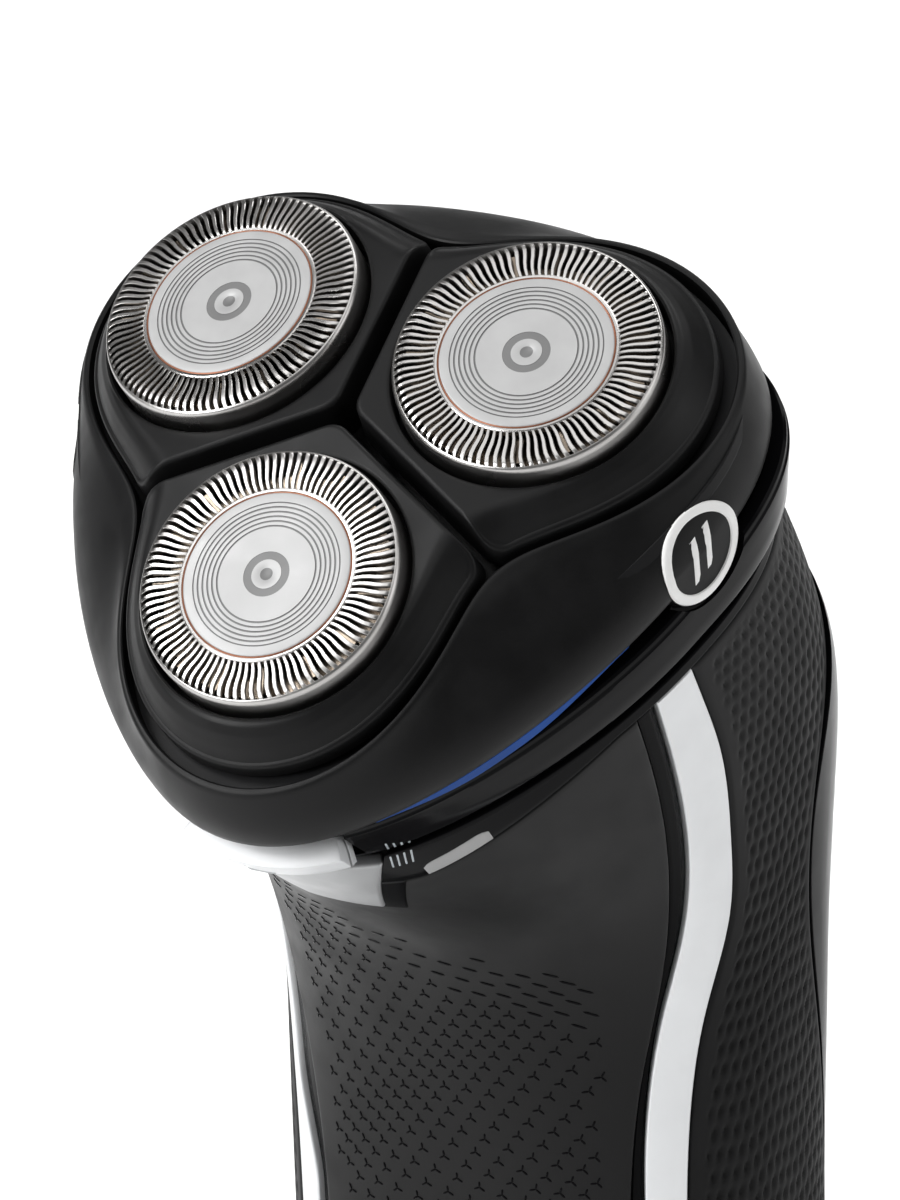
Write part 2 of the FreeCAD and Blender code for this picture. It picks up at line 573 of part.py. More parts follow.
def add_trimmer(outer, under, back):
    pocket = box(-12.6, 12.6, 17.2, 60, TRIM_Z - 5.0, TRIM_TOP + 1.7).common(under)
    room_half = TRIM_HALF + 0.4
    room = box(-room_half, room_half, 18.4, FAR, TRIM_Z, TRIM_TOP + 0.5)
    room = room.fuse(trim_rod(TRIM_R + 0.35, -room_half, room_half))
    swing = trim_rod(TRIM_R + TRIM_SWING, -room_half, room_half)
    room = room.fuse(swing.common(box(-FAR, FAR, TRIM_Y, FAR, 0, TRIM_Z)))
    slider_slot = box(-2.5, 2.5, 5, 60, 53.6, 65.0)
    back = back.fuse(pocket).cut(room).cut(trim_rod(PIN_R, -12.6, 12.6)).cut(slider_slot)
    nodes["back_housing"] = back.removeSplitter()
    nodes["trimmer_pin"] = trim_rod(PIN_R, -12.6, 12.6)

    cover = outer.common(box(-TRIM_HALF, TRIM_HALF, TRIM_Y, FAR, TRIM_Z, TRIM_TOP))
    cover = cover.fuse(trim_rod(TRIM_R, -TRIM_HALF, TRIM_HALF))
    cover = cover.cut(trim_rod(PIN_R + RUNNING, -12, 12))
    cover = cover.cut(box(-COMB_HALF, COMB_HALF, 10, COMB_Y1, COMB_LOW, TRIM_TOP + 1))
    nodes["trimmer_cover"] = cover.removeSplitter()
    comb = box(-COMB_HALF, COMB_HALF, COMB_Y0, COMB_Y1, COMB_LOW, TRIM_TOP)
    blade = box(-9.0, 9.0, 21.2, 22.1, 95, TRIM_TOP - 0.4).fuse(box(-3, 3, 20.2, 21.2, 93, 97))
    for i in range(13):
        x, gap = TOOTH_PITCH * (i - 6), TOOTH_GAP / 2
        comb = comb.cut(box(x - gap, x + gap, 10, 30, TRIM_TOP - 3, TRIM_TOP + 1))
        blade = blade.cut(box(x - gap, x + gap, 10, 30, TRIM_TOP - 2.6, TRIM_TOP + 1))
    nodes["trimmer_comb"] = comb
    nodes["trimmer_blade"] = blade
    pad = handle_loft(-1.3).cut(handle_loft(-0.3)).common(box(-6, 6, 5, 60, 56, 66.5))
    stem = handle_loft(-0.6).cut(handle_loft(2.0)).common(box(-2.1, 2.1, 5, 60, 60, 64.5))
    nodes["trimmer_slider"] = pad.fuse(stem).removeSplitter()


# ---- battery, chassis and base ---------------------------------------------------------------------

def add_inside():
    cell = rod(CELL_R, (0, CELL_Y, CELL_LOW), (0, CELL_Y, CELL_HIGH))
    nodes["battery"] = cell.fuse(rod(2.6, (0, CELL_Y, CELL_HIGH), (0, CELL_Y, CELL_HIGH + 1.2)))
    frame = box(-11, 11, 9.8, 11.0, 15, 70).fuse(box(-11, 11, -6.0, 11.0, 15, 16.4))
    for z in (28, 58):
        ring = tube(CELL_R + 1.2, CELL_R, (0, CELL_Y, z), (0, CELL_Y, z + 4))
        ring = ring.cut(box(-5, 5, -12, 0, z - 1, z + 5))
        frame = frame.fuse(ring)
    for side in (-1, 1):
        frame = frame.fuse(box(*sorted((side * 8.8, side * 10.0)), -6.4, 9.8, 40, 44))
    bed = rod(CELL_R + RUNNING, (0, CELL_Y, 17), (0, CELL_Y, 80))
    nodes["chassis"] = frame.cut(bed).removeSplitter()


def add_base(outer):
    shell = outer.common(box(-60, 60, -60, 60, -1, BASE_HEIGHT))
    inside = handle_loft(2.4).common(box(-60, 60, -60, 60, 2.6, BASE_HEIGHT + 1))
    cavity = box(-5.5, 5.5, SOCKET_Y - 3.2, SOCKET_Y + 3.2, -1, 9.6)
    screws, holes = [], []
    for side in (-1, 1):
        x, y = side * BASE_SCREW_X, BASE_SCREW_Y
        holes.append(rod(1.7, (x, y, -1), (x, y, 1.2)).fuse(rod(0.8, (x, y, 0), (x, y, 3))))
        head = rod(1.7, (x, y, 0.2), (x, y, 1.2)).cut(box(x - 1.3, x + 1.3, y - 0.2, y + 0.2, -1, 0.7))
        screws.append(head.fuse(rod(0.8, (x, y, 1.2), (x, y, 6.5))))
    base = shell.cut(inside).cut(cavity)
    for hole in holes:
        base = base.cut(hole)
    nodes["base_cap"] = base
    nodes["base_screws"] = Part.makeCompound(screws)
    block = box(-7, 7, SOCKET_Y - 4.6, SOCKET_Y + 4.6, 2.6, 13.0).cut(cavity)
    pins = []
    for x in (-2.4, 2.4):
        pins.append(rod(0.8, (x, SOCKET_Y, 4.9), (x, SOCKET_Y, 14.2)))
        block = block.cut(rod(0.8, (x, SOCKET_Y, 9), (x, SOCKET_Y, 15)))
    nodes["charging_socket"] = block
    nodes["socket_pins"] = Part.makeCompound(pins)


def main():
    os.makedirs("parts", exist_ok=True)
    nodes["head_skirt"] = place_head(head_skirt())
    nodes["head_frame"] = place_head(head_frame())
    nodes["retaining_frame"] = place_head(retaining_frame())
    nodes["badge_right"] = place_head(badge())
    nodes["badge_left"] = mirrored(nodes["badge_right"])
    add_units()
    add_drive()
    nodes["plate_screws"] = plate_screws()
    add_top()
    add_handle()
    add_inside()
    for name, shape in nodes.items():
        shape.exportStep("parts/" + name + ".step")


main()
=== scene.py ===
import json
import math

import bmesh
import bpy
import numpy as np
from mathutils import Matrix, Vector
from mathutils.bvhtree import BVHTree


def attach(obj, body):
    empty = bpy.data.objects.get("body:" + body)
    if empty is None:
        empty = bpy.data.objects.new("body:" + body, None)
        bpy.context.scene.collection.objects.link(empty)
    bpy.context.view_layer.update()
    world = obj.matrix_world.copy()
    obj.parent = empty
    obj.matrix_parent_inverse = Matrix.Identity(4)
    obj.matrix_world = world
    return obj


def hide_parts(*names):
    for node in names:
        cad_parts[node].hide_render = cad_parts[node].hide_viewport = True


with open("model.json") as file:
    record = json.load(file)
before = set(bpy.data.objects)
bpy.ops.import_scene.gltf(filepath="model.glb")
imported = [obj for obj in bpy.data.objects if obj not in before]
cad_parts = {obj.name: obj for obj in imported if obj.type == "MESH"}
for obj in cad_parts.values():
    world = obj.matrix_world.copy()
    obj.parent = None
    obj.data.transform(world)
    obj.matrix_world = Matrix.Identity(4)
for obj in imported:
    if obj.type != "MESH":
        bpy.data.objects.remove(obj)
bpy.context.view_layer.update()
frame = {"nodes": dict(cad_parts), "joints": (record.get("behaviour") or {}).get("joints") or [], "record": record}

MM = 0.001                      # everything below is worked out in millimetres
FRONT_Y = -80                   # rays that find the front of a surface start here
JOINTS = {j["name"]: j for j in frame["joints"]}


# ---- frames of the head and of the three shaving units ----------------------------------------

def axes_from(x, z):
    x, z = np.array(x, float), np.array(z, float)
    return np.array([x, np.cross(z, x), z])


HEAD_AXES = axes_from((1, 0, 0), JOINTS["rotor_spin"]["axis"])
ROTOR_BELOW, SPIN_BELOW = 20, 3  # joint points below the origins of the head and of a shaving unit
HEAD_AT = np.array(JOINTS["rotor_spin"]["pos_m"]) / MM + ROTOR_BELOW * HEAD_AXES[2]


def in_head(points):
    return HEAD_AT + np.asarray(points, float) @ HEAD_AXES


def unit_placer(name):
    spin = JOINTS["cutter_spin_" + name]
    axes = axes_from(JOINTS["petal_tilt_" + name]["axis"], spin["axis"])
    origin = np.array(spin["pos_m"]) / MM + SPIN_BELOW * axes[2]
    return lambda points: origin + np.asarray(points, float) @ axes


# ---- mesh helpers -------------------------------------------------------------------------------

def grid_quads(rows, cols, close_rows=False, close_cols=False):
    """Quads of a grid whose normal is (down the rows) x (along the columns)."""
    i = np.arange(rows if close_rows else rows - 1)[:, None]
    j = np.arange(cols if close_cols else cols - 1)[None, :]
    a, b = (i % rows) * cols, ((i + 1) % rows) * cols
    c, d = j % cols, (j + 1) % cols
    return np.stack([a + c, b + c, b + d, a + d], -1).reshape(-1, 4)


def make(name, points, faces, body, mats, face_mats=None, nodes=(), slot=None, angle=35, flip=False):
    """A new piece from points in millimetres; it rides on body and stands for the nodes."""
    mesh = bpy.data.meshes.new(name)
    points = np.asarray(points, float).reshape(-1, 3) * MM
    faces = [list(f)[::-1] if flip else list(f) for f in faces]
    mesh.from_pydata(points.tolist(), [], [[int(k) for k in f] for f in faces])
    for m in mats if isinstance(mats, (list, tuple)) else [mats]:
        mesh.materials.append(m)
    if face_mats is not None:
        mesh.polygons.foreach_set("material_index", np.asarray(face_mats, np.int32))
    mesh.shade_smooth()
    mesh.set_sharp_from_angle(angle=math.radians(angle))
    obj = bpy.data.objects.new(name, mesh)
    bpy.context.scene.collection.objects.link(obj)
    if body:
        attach(obj, body)
    if nodes:
        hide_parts(*nodes)
    return obj


def attribute(obj, name, values):
    layer = obj.data.attributes.new(name, "FLOAT", "POINT")
    layer.data.foreach_set("value", np.asarray(values, np.float32).ravel())


def thicken(obj, depth, edge=0.0, angle=50):
    wall = obj.modifiers.new("wall", "SOLIDIFY")
    wall.thickness, wall.offset, wall.use_even_offset = depth * MM, -1, False
    if edge:
        round_edges(obj, edge, angle)


def round_edges(obj, edge, angle=50):
    bevel = obj.modifiers.new("edge", "BEVEL")
    bevel.width, bevel.segments, bevel.limit_method = edge * MM, 3, "ANGLE"
    bevel.angle_limit, bevel.use_clamp_overlap = math.radians(angle), True
    bevel.harden_normals = False


def cut(obj, *cutters):
    """Cuts the cutters out of obj for good, and removes them."""
    for cutter in cutters:
        step = obj.modifiers.new("cut", "BOOLEAN")
        step.object, step.operation, step.solver = cutter, "DIFFERENCE", "EXACT"
    depsgraph = bpy.context.evaluated_depsgraph_get()
    made = bpy.data.meshes.new_from_object(obj.evaluated_get(depsgraph))
    obj.modifiers.clear()
    obj.data = made
    made.shade_smooth()
    made.set_sharp_from_angle(angle=math.radians(35))
    for cutter in cutters:
        bpy.data.objects.remove(cutter)


def rod(name, radius, start, end, body, mat, place=in_head, edge=0.25, count=48, **facts):
    """Turned rod with rounded ends between two points."""
    start, end = place(np.array(start, float)), place(np.array(end, float))
    length = np.linalg.norm(end - start)
    along = (end - start) / length
    across = np.cross(along, [0.3, 0.5, 0.8])
    across /= np.linalg.norm(across)
    other = np.cross(along, across)
    edge = min(edge, radius * 0.5, length * 0.4)
    profile = [(0, 0), (radius - edge, 0), (radius - 0.3 * edge, 0.3 * edge), (radius, edge),
               (radius, length - edge), (radius - 0.3 * edge, length - 0.3 * edge),
               (radius - edge, length), (0, length)]
    turn = np.linspace(0, 2 * math.pi, count, endpoint=False)
    ring = np.cos(turn)[:, None] * across + np.sin(turn)[:, None] * other
    points = np.array([start + along * h + ring * max(r, 1e-4) for r, h in profile])
    obj = make(name, points, grid_quads(len(profile), count, close_cols=True), body, mat, **facts)
    weld(obj)
    return obj


def weld(obj, gap=0.0005):
    bm = bmesh.new()
    bm.from_mesh(obj.data)
    bmesh.ops.remove_doubles(bm, verts=bm.verts, dist=gap * MM)
    bmesh.ops.recalc_face_normals(bm, faces=bm.faces)
    bm.to_mesh(obj.data)
    bm.free()


def seen_from_front(tree, x, z, start=None, way=(0, 1, 0)):
    """Where a ray from in front meets the surface, with the normal there towards the front; or None."""
    hit, normal = tree.ray_cast(Vector(start if start is not None else (x, FRONT_Y, z)), Vector(way))[:2]
    if hit is None:
        return None
    normal = np.array(normal)
    return np.array(hit), -normal if normal[1] > 0 else normal


BLOCK_FACES = [(0, 2, 3, 1), (4, 5, 7, 6), (0, 1, 5, 4), (2, 6, 7, 3), (0, 4, 6, 2), (1, 3, 7, 5)]


def block(name, low, high, body=None, mat=None, place=in_head, edge=0.0, **facts):
    (x0, y0, z0), (x1, y1, z1) = low, high
    corners = [(x, y, z) for z in (z0, z1) for y in (y0, y1) for x in (x0, x1)]
    obj = make(name, place(np.array(corners, float)), BLOCK_FACES, body, mat or [], **facts)
    if edge:
        round_edges(obj, edge, 30)
    return obj


# ---- materials --------------------------------------------------------------------------------------

def material(name, colour, rough, metallic=0.0, coat=0.0, grain=0.25, bump=0.1, mottle=0.15,
             rough_spread=0.08, stretch=(1, 1, 1), shade_colour=None, soft_edges=0.0, specular=0.5, clear=0.0):
    """Procedural finish: fine grain in the bump, broad mottling in colour and gloss, and, with a shade colour,
    painted shade: that darker colour mixed in where the piece's own dimple mask attribute is high."""
    mat = bpy.data.materials.new(name)
    mat.use_nodes = True
    tree = mat.node_tree
    nodes, links = tree.nodes, tree.links
    shader = nodes["Principled BSDF"]
    shader.inputs["Metallic"].default_value = metallic
    shader.inputs["Coat Weight"].default_value = coat
    shader.inputs["Coat Roughness"].default_value = 0.04
    shader.inputs["Specular IOR Level"].default_value = specular
    shader.inputs["Transmission Weight"].default_value = clear
    where = nodes.new("ShaderNodeTexCoord")
    scale = nodes.new("ShaderNodeMapping")
    scale.inputs["Scale"].default_value = stretch
    links.new(where.outputs["Object"], scale.inputs["Vector"])

    def noise(size, detail):
        n = nodes.new("ShaderNodeTexNoise")
        n.inputs["Scale"].default_value = 1 / (size * MM)
        n.inputs["Detail"].default_value = detail
        links.new(scale.outputs["Vector"], n.inputs["Vector"])
        return n.outputs["Fac"]

    broad, fine = noise(grain * 40, 3), noise(grain, 2)
    low, high = [tuple(c * k for c in colour) + (1,) for k in (1 - mottle, 1 + mottle)]
    ramp = nodes.new("ShaderNodeMix")
    ramp.data_type = "RGBA"
    ramp.inputs[6].default_value, ramp.inputs[7].default_value = low, high
    share = nodes.new("ShaderNodeMapRange")
    share.inputs["From Min"].default_value, share.inputs["From Max"].default_value = 0.3, 0.7
    links.new(broad, share.inputs["Value"])
    links.new(share.outputs["Result"], ramp.inputs[0])
    paint = ramp.outputs[2]
    # Painted shade: the shade colour darkens the dimples of a relief, where their mask attribute is high.
    if shade_colour is not None:
        mark = nodes.new("ShaderNodeAttribute")
        mark.attribute_name = "relief_and_shade"
        shade = nodes.new("ShaderNodeMix")
        shade.data_type = "RGBA"
        shade.inputs[7].default_value = tuple(shade_colour) + (1,)
        links.new(mark.outputs["Fac"], shade.inputs[0])
        links.new(paint, shade.inputs[6])
        paint = shade.outputs[2]
    links.new(paint, shader.inputs["Base Color"])
    gloss = nodes.new("ShaderNodeMapRange")
    gloss.inputs["To Min"].default_value = max(0.02, rough - rough_spread)
    gloss.inputs["To Max"].default_value = rough + rough_spread
    gloss.inputs["From Min"].default_value, gloss.inputs["From Max"].default_value = 0.3, 0.7
    links.new(broad, gloss.inputs["Value"])
    links.new(gloss.outputs["Result"], shader.inputs["Roughness"])
    dent = nodes.new("ShaderNodeBump")
    dent.inputs["Strength"].default_value = bump
    dent.inputs["Distance"].default_value = 0.02 * MM
    links.new(fine, dent.inputs["Height"])
    if soft_edges:
        rounded = nodes.new("ShaderNodeBevel")
        rounded.samples = 4
        rounded.inputs["Radius"].default_value = soft_edges * MM
        links.new(rounded.outputs["Normal"], dent.inputs["Normal"])
    links.new(dent.outputs["Normal"], shader.inputs["Normal"])
    return mat


SATIN = material("satin_black_plastic", (0.005, 0.005, 0.0052), 0.42, grain=0.12, bump=0.3, specular=0.15)
SATIN_CAD = material("satin_black_inner", (0.008, 0.008, 0.0085), 0.45, grain=0.12, bump=0.25, soft_edges=0.2,
                     specular=0.14)
GLOSS = material("gloss_black_lacquer", (0.003, 0.003, 0.0034), 0.13, grain=0.6, bump=0.02,
                 rough_spread=0.03, specular=0.035)
GLOSS_CAD = material("gloss_black_shell", (0.004, 0.004, 0.0044), 0.2, grain=0.6, bump=0.02,
                     rough_spread=0.03, soft_edges=0.3, specular=0.035)
HOUSING = material("housing_black", (0.008, 0.008, 0.0085), 0.5, grain=0.2, bump=0.3, soft_edges=0.2,
                   specular=0.14)
# Its second, darker colour is painted shade in the hollows of the grip's dimples.
RUBBER = material("grip_rubber", (0.009, 0.009, 0.0093), 0.5, grain=0.15, bump=0.5, shade_colour=(0.003, 0.003, 0.003),
                  rough_spread=0.05, specular=0.09)
SILVER = material("satin_silver_trim", (0.66, 0.67, 0.68), 0.34, metallic=0.55, grain=0.10, bump=0.12,
                  mottle=0.03, rough_spread=0.04)
PLATE = material("plate_grey", (0.32, 0.325, 0.33), 0.36, metallic=0.3, grain=0.08, bump=0.2, mottle=0.03)
BUTTON = material("button_silver", (0.62, 0.63, 0.64), 0.3, metallic=0.05, grain=0.08, bump=0.2, mottle=0.03,
                  rough_spread=0.04, soft_edges=0.15)
STEEL = material("cap_steel", (0.42, 0.41, 0.40), 0.28, metallic=1.0, grain=0.35, bump=0.15, mottle=0.10,
                 rough_spread=0.08)
# Warm-tinted steel, its own tone, darkened far below it: painted shade for the dark under the caps, seen through
# the slots.
CUTTER_DARKENED_AS_SHADE = material("cutter_steel", (0.18, 0.15, 0.12), 0.25, metallic=1.0, grain=0.3, bump=0.2, mottle=0.12,
                  soft_edges=0.05)
DISC = material("disc_grey", (0.34, 0.34, 0.34), 0.45, metallic=0.2, grain=0.07, bump=0.35, mottle=0.05)
DISC_LINE = material("disc_print", (0.13, 0.13, 0.13), 0.5, metallic=0.2, grain=0.07, bump=0.3, mottle=0.06)
COPPER = material("disc_seal", (0.22, 0.085, 0.045), 0.4, metallic=0.6, grain=0.1, bump=0.2)
# Pale grey of the rim bars: a painted highlight standing in for a reflection on the gloss black rim.
HIGHLIGHT_GREY = material("painted_highlight_grey", (0.30, 0.30, 0.30), 0.4, grain=0.1, bump=0.15, mottle=0.03, specular=0.3)
WHITE = material("badge_white", (0.80, 0.80, 0.79), 0.4, grain=0.1, bump=0.15, mottle=0.03)
BLUE = material("accent_blue", (0.003, 0.05, 0.24), 0.35, grain=0.2, bump=0.1, soft_edges=0.1, specular=0.15)
PIN = material("pin_steel", (0.62, 0.61, 0.59), 0.28, metallic=1.0, grain=0.2, bump=0.2, soft_edges=0.08)
GREY = material("spindle_grey", (0.33, 0.34, 0.35), 0.45, grain=0.2, bump=0.25, soft_edges=0.1)
GEAR = material("gear_white", (0.72, 0.71, 0.67), 0.45, grain=0.2, bump=0.25, mottle=0.05, soft_edges=0.08)
MOTOR = material("motor_can", (0.55, 0.55, 0.54), 0.30, metallic=1.0, grain=0.15, bump=0.2,
                 stretch=(1, 1, 12), soft_edges=0.3)
WRAP = material("battery_wrap", (0.05, 0.16, 0.10), 0.35, coat=0.3, grain=0.4, bump=0.15)
BOARD = material("board_green", (0.015, 0.09, 0.04), 0.4, grain=0.3, bump=0.3, soft_edges=0.08)
BRASS = material("contact_brass", (0.75, 0.56, 0.28), 0.25, metallic=1.0, grain=0.15, bump=0.2, soft_edges=0.1)
LENS = material("lens_clear", (0.55, 0.62, 0.66), 0.15, coat=0.4, clear=0.4, grain=0.2, bump=0.05, soft_edges=0.1)
BY_SLOT = {"satin_black": SATIN_CAD, "gloss_black": GLOSS_CAD, "housing_black": HOUSING, "rubber_black": RUBBER,
           "satin_silver": SILVER, "button_silver": BUTTON, "cap_steel": STEEL, "cutter_steel": CUTTER_DARKENED_AS_SHADE,
           "disc_grey": DISC, "badge_white": WHITE, "accent_blue": BLUE, "pin_steel": PIN,
           "spindle_grey": GREY, "gear_white": GEAR, "motor_can": MOTOR, "battery_wrap": WRAP,
           "board_green": BOARD, "contact_brass": BRASS, "lens_clear": LENS}


def finish_cad_nodes():
    """Gives every CAD node the finish of its record slot; the node's mesh stays as it is."""
    slot_of = {part["node"]: part["material_slot"] for part in frame["record"]["subparts"]}
    for name, obj in frame["nodes"].items():
        mat = BY_SLOT[slot_of[name]]
        if not obj.material_slots:
            obj.data.materials.append(mat)
        for slot in obj.material_slots:
            slot.material = mat


# ---- smooth curves --------------------------------------------------------------------------------

def spline(knots, values, at, closed=False):
    """Cubic spline through values at knots; a closed one has its first value again at the end."""
    knots, values, at = (np.asarray(a, float) for a in (knots, values, at))
    count, gaps = len(knots), np.diff(knots)
    flat = values.reshape(count, -1)
    slopes = np.diff(flat, axis=0) / gaps[:, None]
    system, right = np.zeros((count, count)), np.zeros_like(flat)
    for i in range(1, count - 1):
        system[i, i - 1:i + 2] = gaps[i - 1], 2 * (gaps[i - 1] + gaps[i]), gaps[i]
        right[i] = 6 * (slopes[i] - slopes[i - 1])
    if closed:
        system[0, 0], system[0, 1], system[0, -2] = 2 * (gaps[0] + gaps[-1]), gaps[0], gaps[-1]
        right[0] = 6 * (slopes[0] - slopes[-1])
        system[-1, 0], system[-1, -1] = 1, -1
    else:
        system[0, 0] = system[-1, -1] = 1
    bend = np.linalg.solve(system, right)
    i = np.clip(np.searchsorted(knots, at, side="right") - 1, 0, count - 2)
    h = gaps[i][..., None]
    after = (at - knots[i])[..., None]
    before = h - after
    out = ((bend[i] * before ** 3 + bend[i + 1] * after ** 3) / (6 * h)
           + (flat[i] / h - bend[i] * h / 6) * before + (flat[i + 1] / h - bend[i + 1] * h / 6) * after)
    return out.reshape(at.shape + values.shape[1:])


def smoothstep(x):
    x = np.clip(x, 0, 1)
    return x * x * (3 - 2 * x)


def egg(half_width, front, back, taper, square=2.0, centre=0.0, turn=None, back_square=None):
    a = np.linspace(0, 2 * math.pi, 24, endpoint=False) if turn is None else turn
    s, c = np.sin(a), np.cos(a)
    power = 2 / np.where(c > 0, square, back_square or square)
    s = np.copysign(np.abs(s) ** power, s)
    c = np.copysign(np.abs(c) ** power, c)
    return np.stack([half_width * s * (1 - taper * c), centre - np.where(c > 0, front, back) * c], -1)


def lobed(turn, grow=0.0):
    r = 25.2 + 6.05 * np.cos(3 * turn) - 0.3 * np.cos(6 * turn) + grow
    return np.stack([r * np.sin(turn), -r * np.cos(turn)], -1)


# ---- handle surface -----------------------------------------------------------------------------------

# Cross-sections from the collar down: tilt in degrees, centre (y, z) from the head's origin, half
# width, front depth, back depth, taper towards the front, squareness of the front and of the back.
SECTIONS = [
    (27, 6.2, -21.0, 27.5, 26.5, 25.5, 0.36, 2.15, 2.15),
    (17, 14.5, -33.0, 26.8, 26.3, 23.2, 0.24, 2.25, 2.3),
    (4, 21.5, -50.0, 24.9, 23.5, 19.8, 0.08, 2.15, 2.6),
    (0, 22.6, -62.0, 23.8, 22.0, 16.3, 0, 2.1, 2.8),
    (0, 20.3, -72.7, 23.6, 19.2, 16.0, 0, 2.25, 2.8),
    (0, 16.5, -90.0, 23.4, 16.6, 15.8, 0, 2.5, 2.8),
    (0, 13.8, -112.0, 23.0, 15.5, 15.5, 0, 2.8, 2.8),
    (0, 13.0, -135.0, 22.3, 15.0, 15.0, 0, 2.8, 2.8),
    (0, 13.0, -144.5, 21.2, 14.0, 14.0, 0, 2.8, 2.8),
    (0, 13.0, -146.0, 19.4, 12.2, 12.2, 0, 2.8, 2.8)]
FINE = 1441


def section_curves(inset):
    curves = []
    for tilt, y0, z0, width, front, back, taper, square, back_square in SECTIONS:
        t = math.radians(tilt)
        flat = egg(width - inset, front - inset, back - inset, taper, square, back_square=back_square)
        ring = np.stack([flat[:, 0], HEAD_AT[1] + y0 + flat[:, 1] * math.cos(t),
                         HEAD_AT[2] + z0 + flat[:, 1] * math.sin(t)], -1)
        ring = np.vstack([ring, ring[:1]])
        along = np.concatenate([[0], np.cumsum(np.linalg.norm(np.diff(ring, axis=0), axis=1))])
        curves.append(spline(along / along[-1], ring, np.linspace(0, 1, FINE), closed=True))
    return np.array(curves)


OUTER, INNER = section_curves(0), section_curves(1)
V_KNOTS = np.concatenate([[0], np.cumsum(np.linalg.norm(np.diff(OUTER, axis=0), axis=2).mean(axis=1))])


def surface(v, u, inset=0.0):
    """Point of the handle v millimetres down from the collar and u of the way round from the front,
    moved inwards by inset."""
    v, u, inset = np.broadcast_arrays(v, np.mod(u, 1.0), inset)
    share = spline(V_KNOTS, np.eye(len(V_KNOTS)), v)
    place = u * (FINE - 1)
    i = np.minimum(place.astype(int), FINE - 2)
    f = (place - i)[..., None]
    rings = []
    for table in (OUTER, INNER):
        rings.append(table[:, i] * (1 - f) + table[:, i + 1] * f)
    mixed = rings[0] + inset[..., None] * (rings[1] - rings[0])
    return np.einsum("...k,k...c->...c", share, mixed)


def head_height(points):
    return (points - HEAD_AT) @ HEAD_AXES[2]


RIM_BASE, BASE_HEIGHT = -22.95, 6.0


def rim_line(points):
    """Head height at which the dark rim ends; it dips towards the plate at the front."""
    dip = np.clip((22.9 - np.abs(points[..., 0])) * 0.285, 0, 3.9)
    return RIM_BASE - np.where(points[..., 1] < 0, dip, 0)


V_TABLE = np.linspace(0, V_KNOTS[-3], 600)
U_TABLE = np.linspace(0, 0.5, 361)
RIGHT_SIDE = surface(V_TABLE[:, None], U_TABLE[None, :])
ROUND = np.linalg.norm(np.diff(RIGHT_SIDE, axis=1), axis=2).sum(axis=1) * 2
V_TOP = np.array([np.interp(0, (rim_line(RIGHT_SIDE) - head_height(RIGHT_SIDE))[:, k], V_TABLE)
                  for k in range(len(U_TABLE))])
V_BASE = float(np.interp(-BASE_HEIGHT, -RIGHT_SIDE[:, 90, 2], V_TABLE))


def v_top(u):
    u = np.mod(u, 1.0)
    return np.interp(np.minimum(u, 1 - u), U_TABLE, V_TOP)


def edge_table(points, measure):
    """How far round (u) an edge, given as (value, z), lies at each step down the handle."""
    values, heights = np.array(sorted(points, key=lambda p: p[1])).T
    z = np.clip(RIGHT_SIDE[..., 2], heights[0], heights[-1])
    level = spline(heights, values, z)
    beyond = measure(RIGHT_SIDE) - level
    first = np.argmax(beyond > 0, axis=1)
    first = np.clip(first, 1, None)
    rows = np.arange(len(V_TABLE))
    a, b = beyond[rows, first - 1], beyond[rows, first]
    return U_TABLE[first - 1] + (U_TABLE[1] - U_TABLE[0]) * (-a / (b - a))


def oblique(points):
    return (points[..., 0] + points[..., 1]) / math.sqrt(2)


BAND_EDGE = edge_table([(5.4, 131), (7.2, 124), (8.6, 118), (10.3, 108), (10.8, 98), (9.8, 89.3), (6.7, 78.5),
                        (3.6, 62), (2.6, 45), (3.4, 28), (5.0, 0)], oblique)
STRIP_FRONT = edge_table([(7.4, 131), (9.2, 124), (10.3, 119), (11.9, 110), (12.6, 102), (11.8, 93), (9.1, 84.5),
                          (6.1, 72.4), (4.4, 55), (4.0, 40), (4.7, 26), (6.2, 0)], oblique)
STRIP_BACK = edge_table([(11.2, 131), (13.2, 124), (14.8, 118), (16.2, 112), (17.0, 100), (16.3, 92), (13.3, 84),
                         (9.6, 70), (7.6, 55), (6.6, 40), (6.6, 26), (7.6, 0)], oblique)
GRIP_BACK = edge_table([(10.5, 0), (11, 40), (12, 75), (12.5, 98), (15, 109), (17, 117), (16, 124), (12, 131)],
                       lambda p: p[..., 1])


def patch_uv(left, right, rows, cols, gap):
    """Parameters of a patch between two edge tables, with the shut-line gap kept free all round."""
    t = np.linspace(0, 1, rows)[:, None]
    k = np.linspace(0, 1, cols)[None, :]
    u = np.full((rows, cols), 0.2)
    for _ in range(4):
        top = v_top(u) + gap
        v = top + t * (V_BASE - gap - top)
        margin = gap / np.interp(v, V_TABLE, ROUND)
        low, high = np.interp(v, V_TABLE, left) + margin, np.interp(v, V_TABLE, right) - margin
        u = low + k * (high - low)
    return v, u


def handle_patch(name, left, right, body, mat, spacing, gap=0.1, sink=0.0, relief_and_shade=None, side=1, **facts):
    width = float(np.max((right - left) * ROUND))
    rows, cols = int(126 / spacing), max(4, int(width / spacing))
    v, u = patch_uv(left, right, rows, cols, gap)
    points = surface(v, u)
    dips = np.zeros(v.shape)
    if relief_and_shade is not None:
        step = np.linalg.norm(np.diff(points, axis=1), axis=2)
        across = np.concatenate([np.zeros((rows, 1)), np.cumsum(step, axis=1)], axis=1)
        dips, shade = relief_and_shade(across, across[:, -1:], v - v[:1], points)
    points = surface(v, u, sink + dips)
    if side < 0:
        points = points * (-1, 1, 1)
    obj = make(name, points, grid_quads(rows, cols), body, mat, flip=side < 0, **facts)
    if relief_and_shade is not None:
        # Mask of the dimples, for the painted shade in the rubber's colour.
        attribute(obj, "relief_and_shade", shade)
    return obj


# ---- relief of the rubber grips, with painted shade in its dimples ----------------------------------------

SCALE_ACROSS, SCALE_DOWN = 1.15, 1.9    # pitch of the slanted dimples, mm


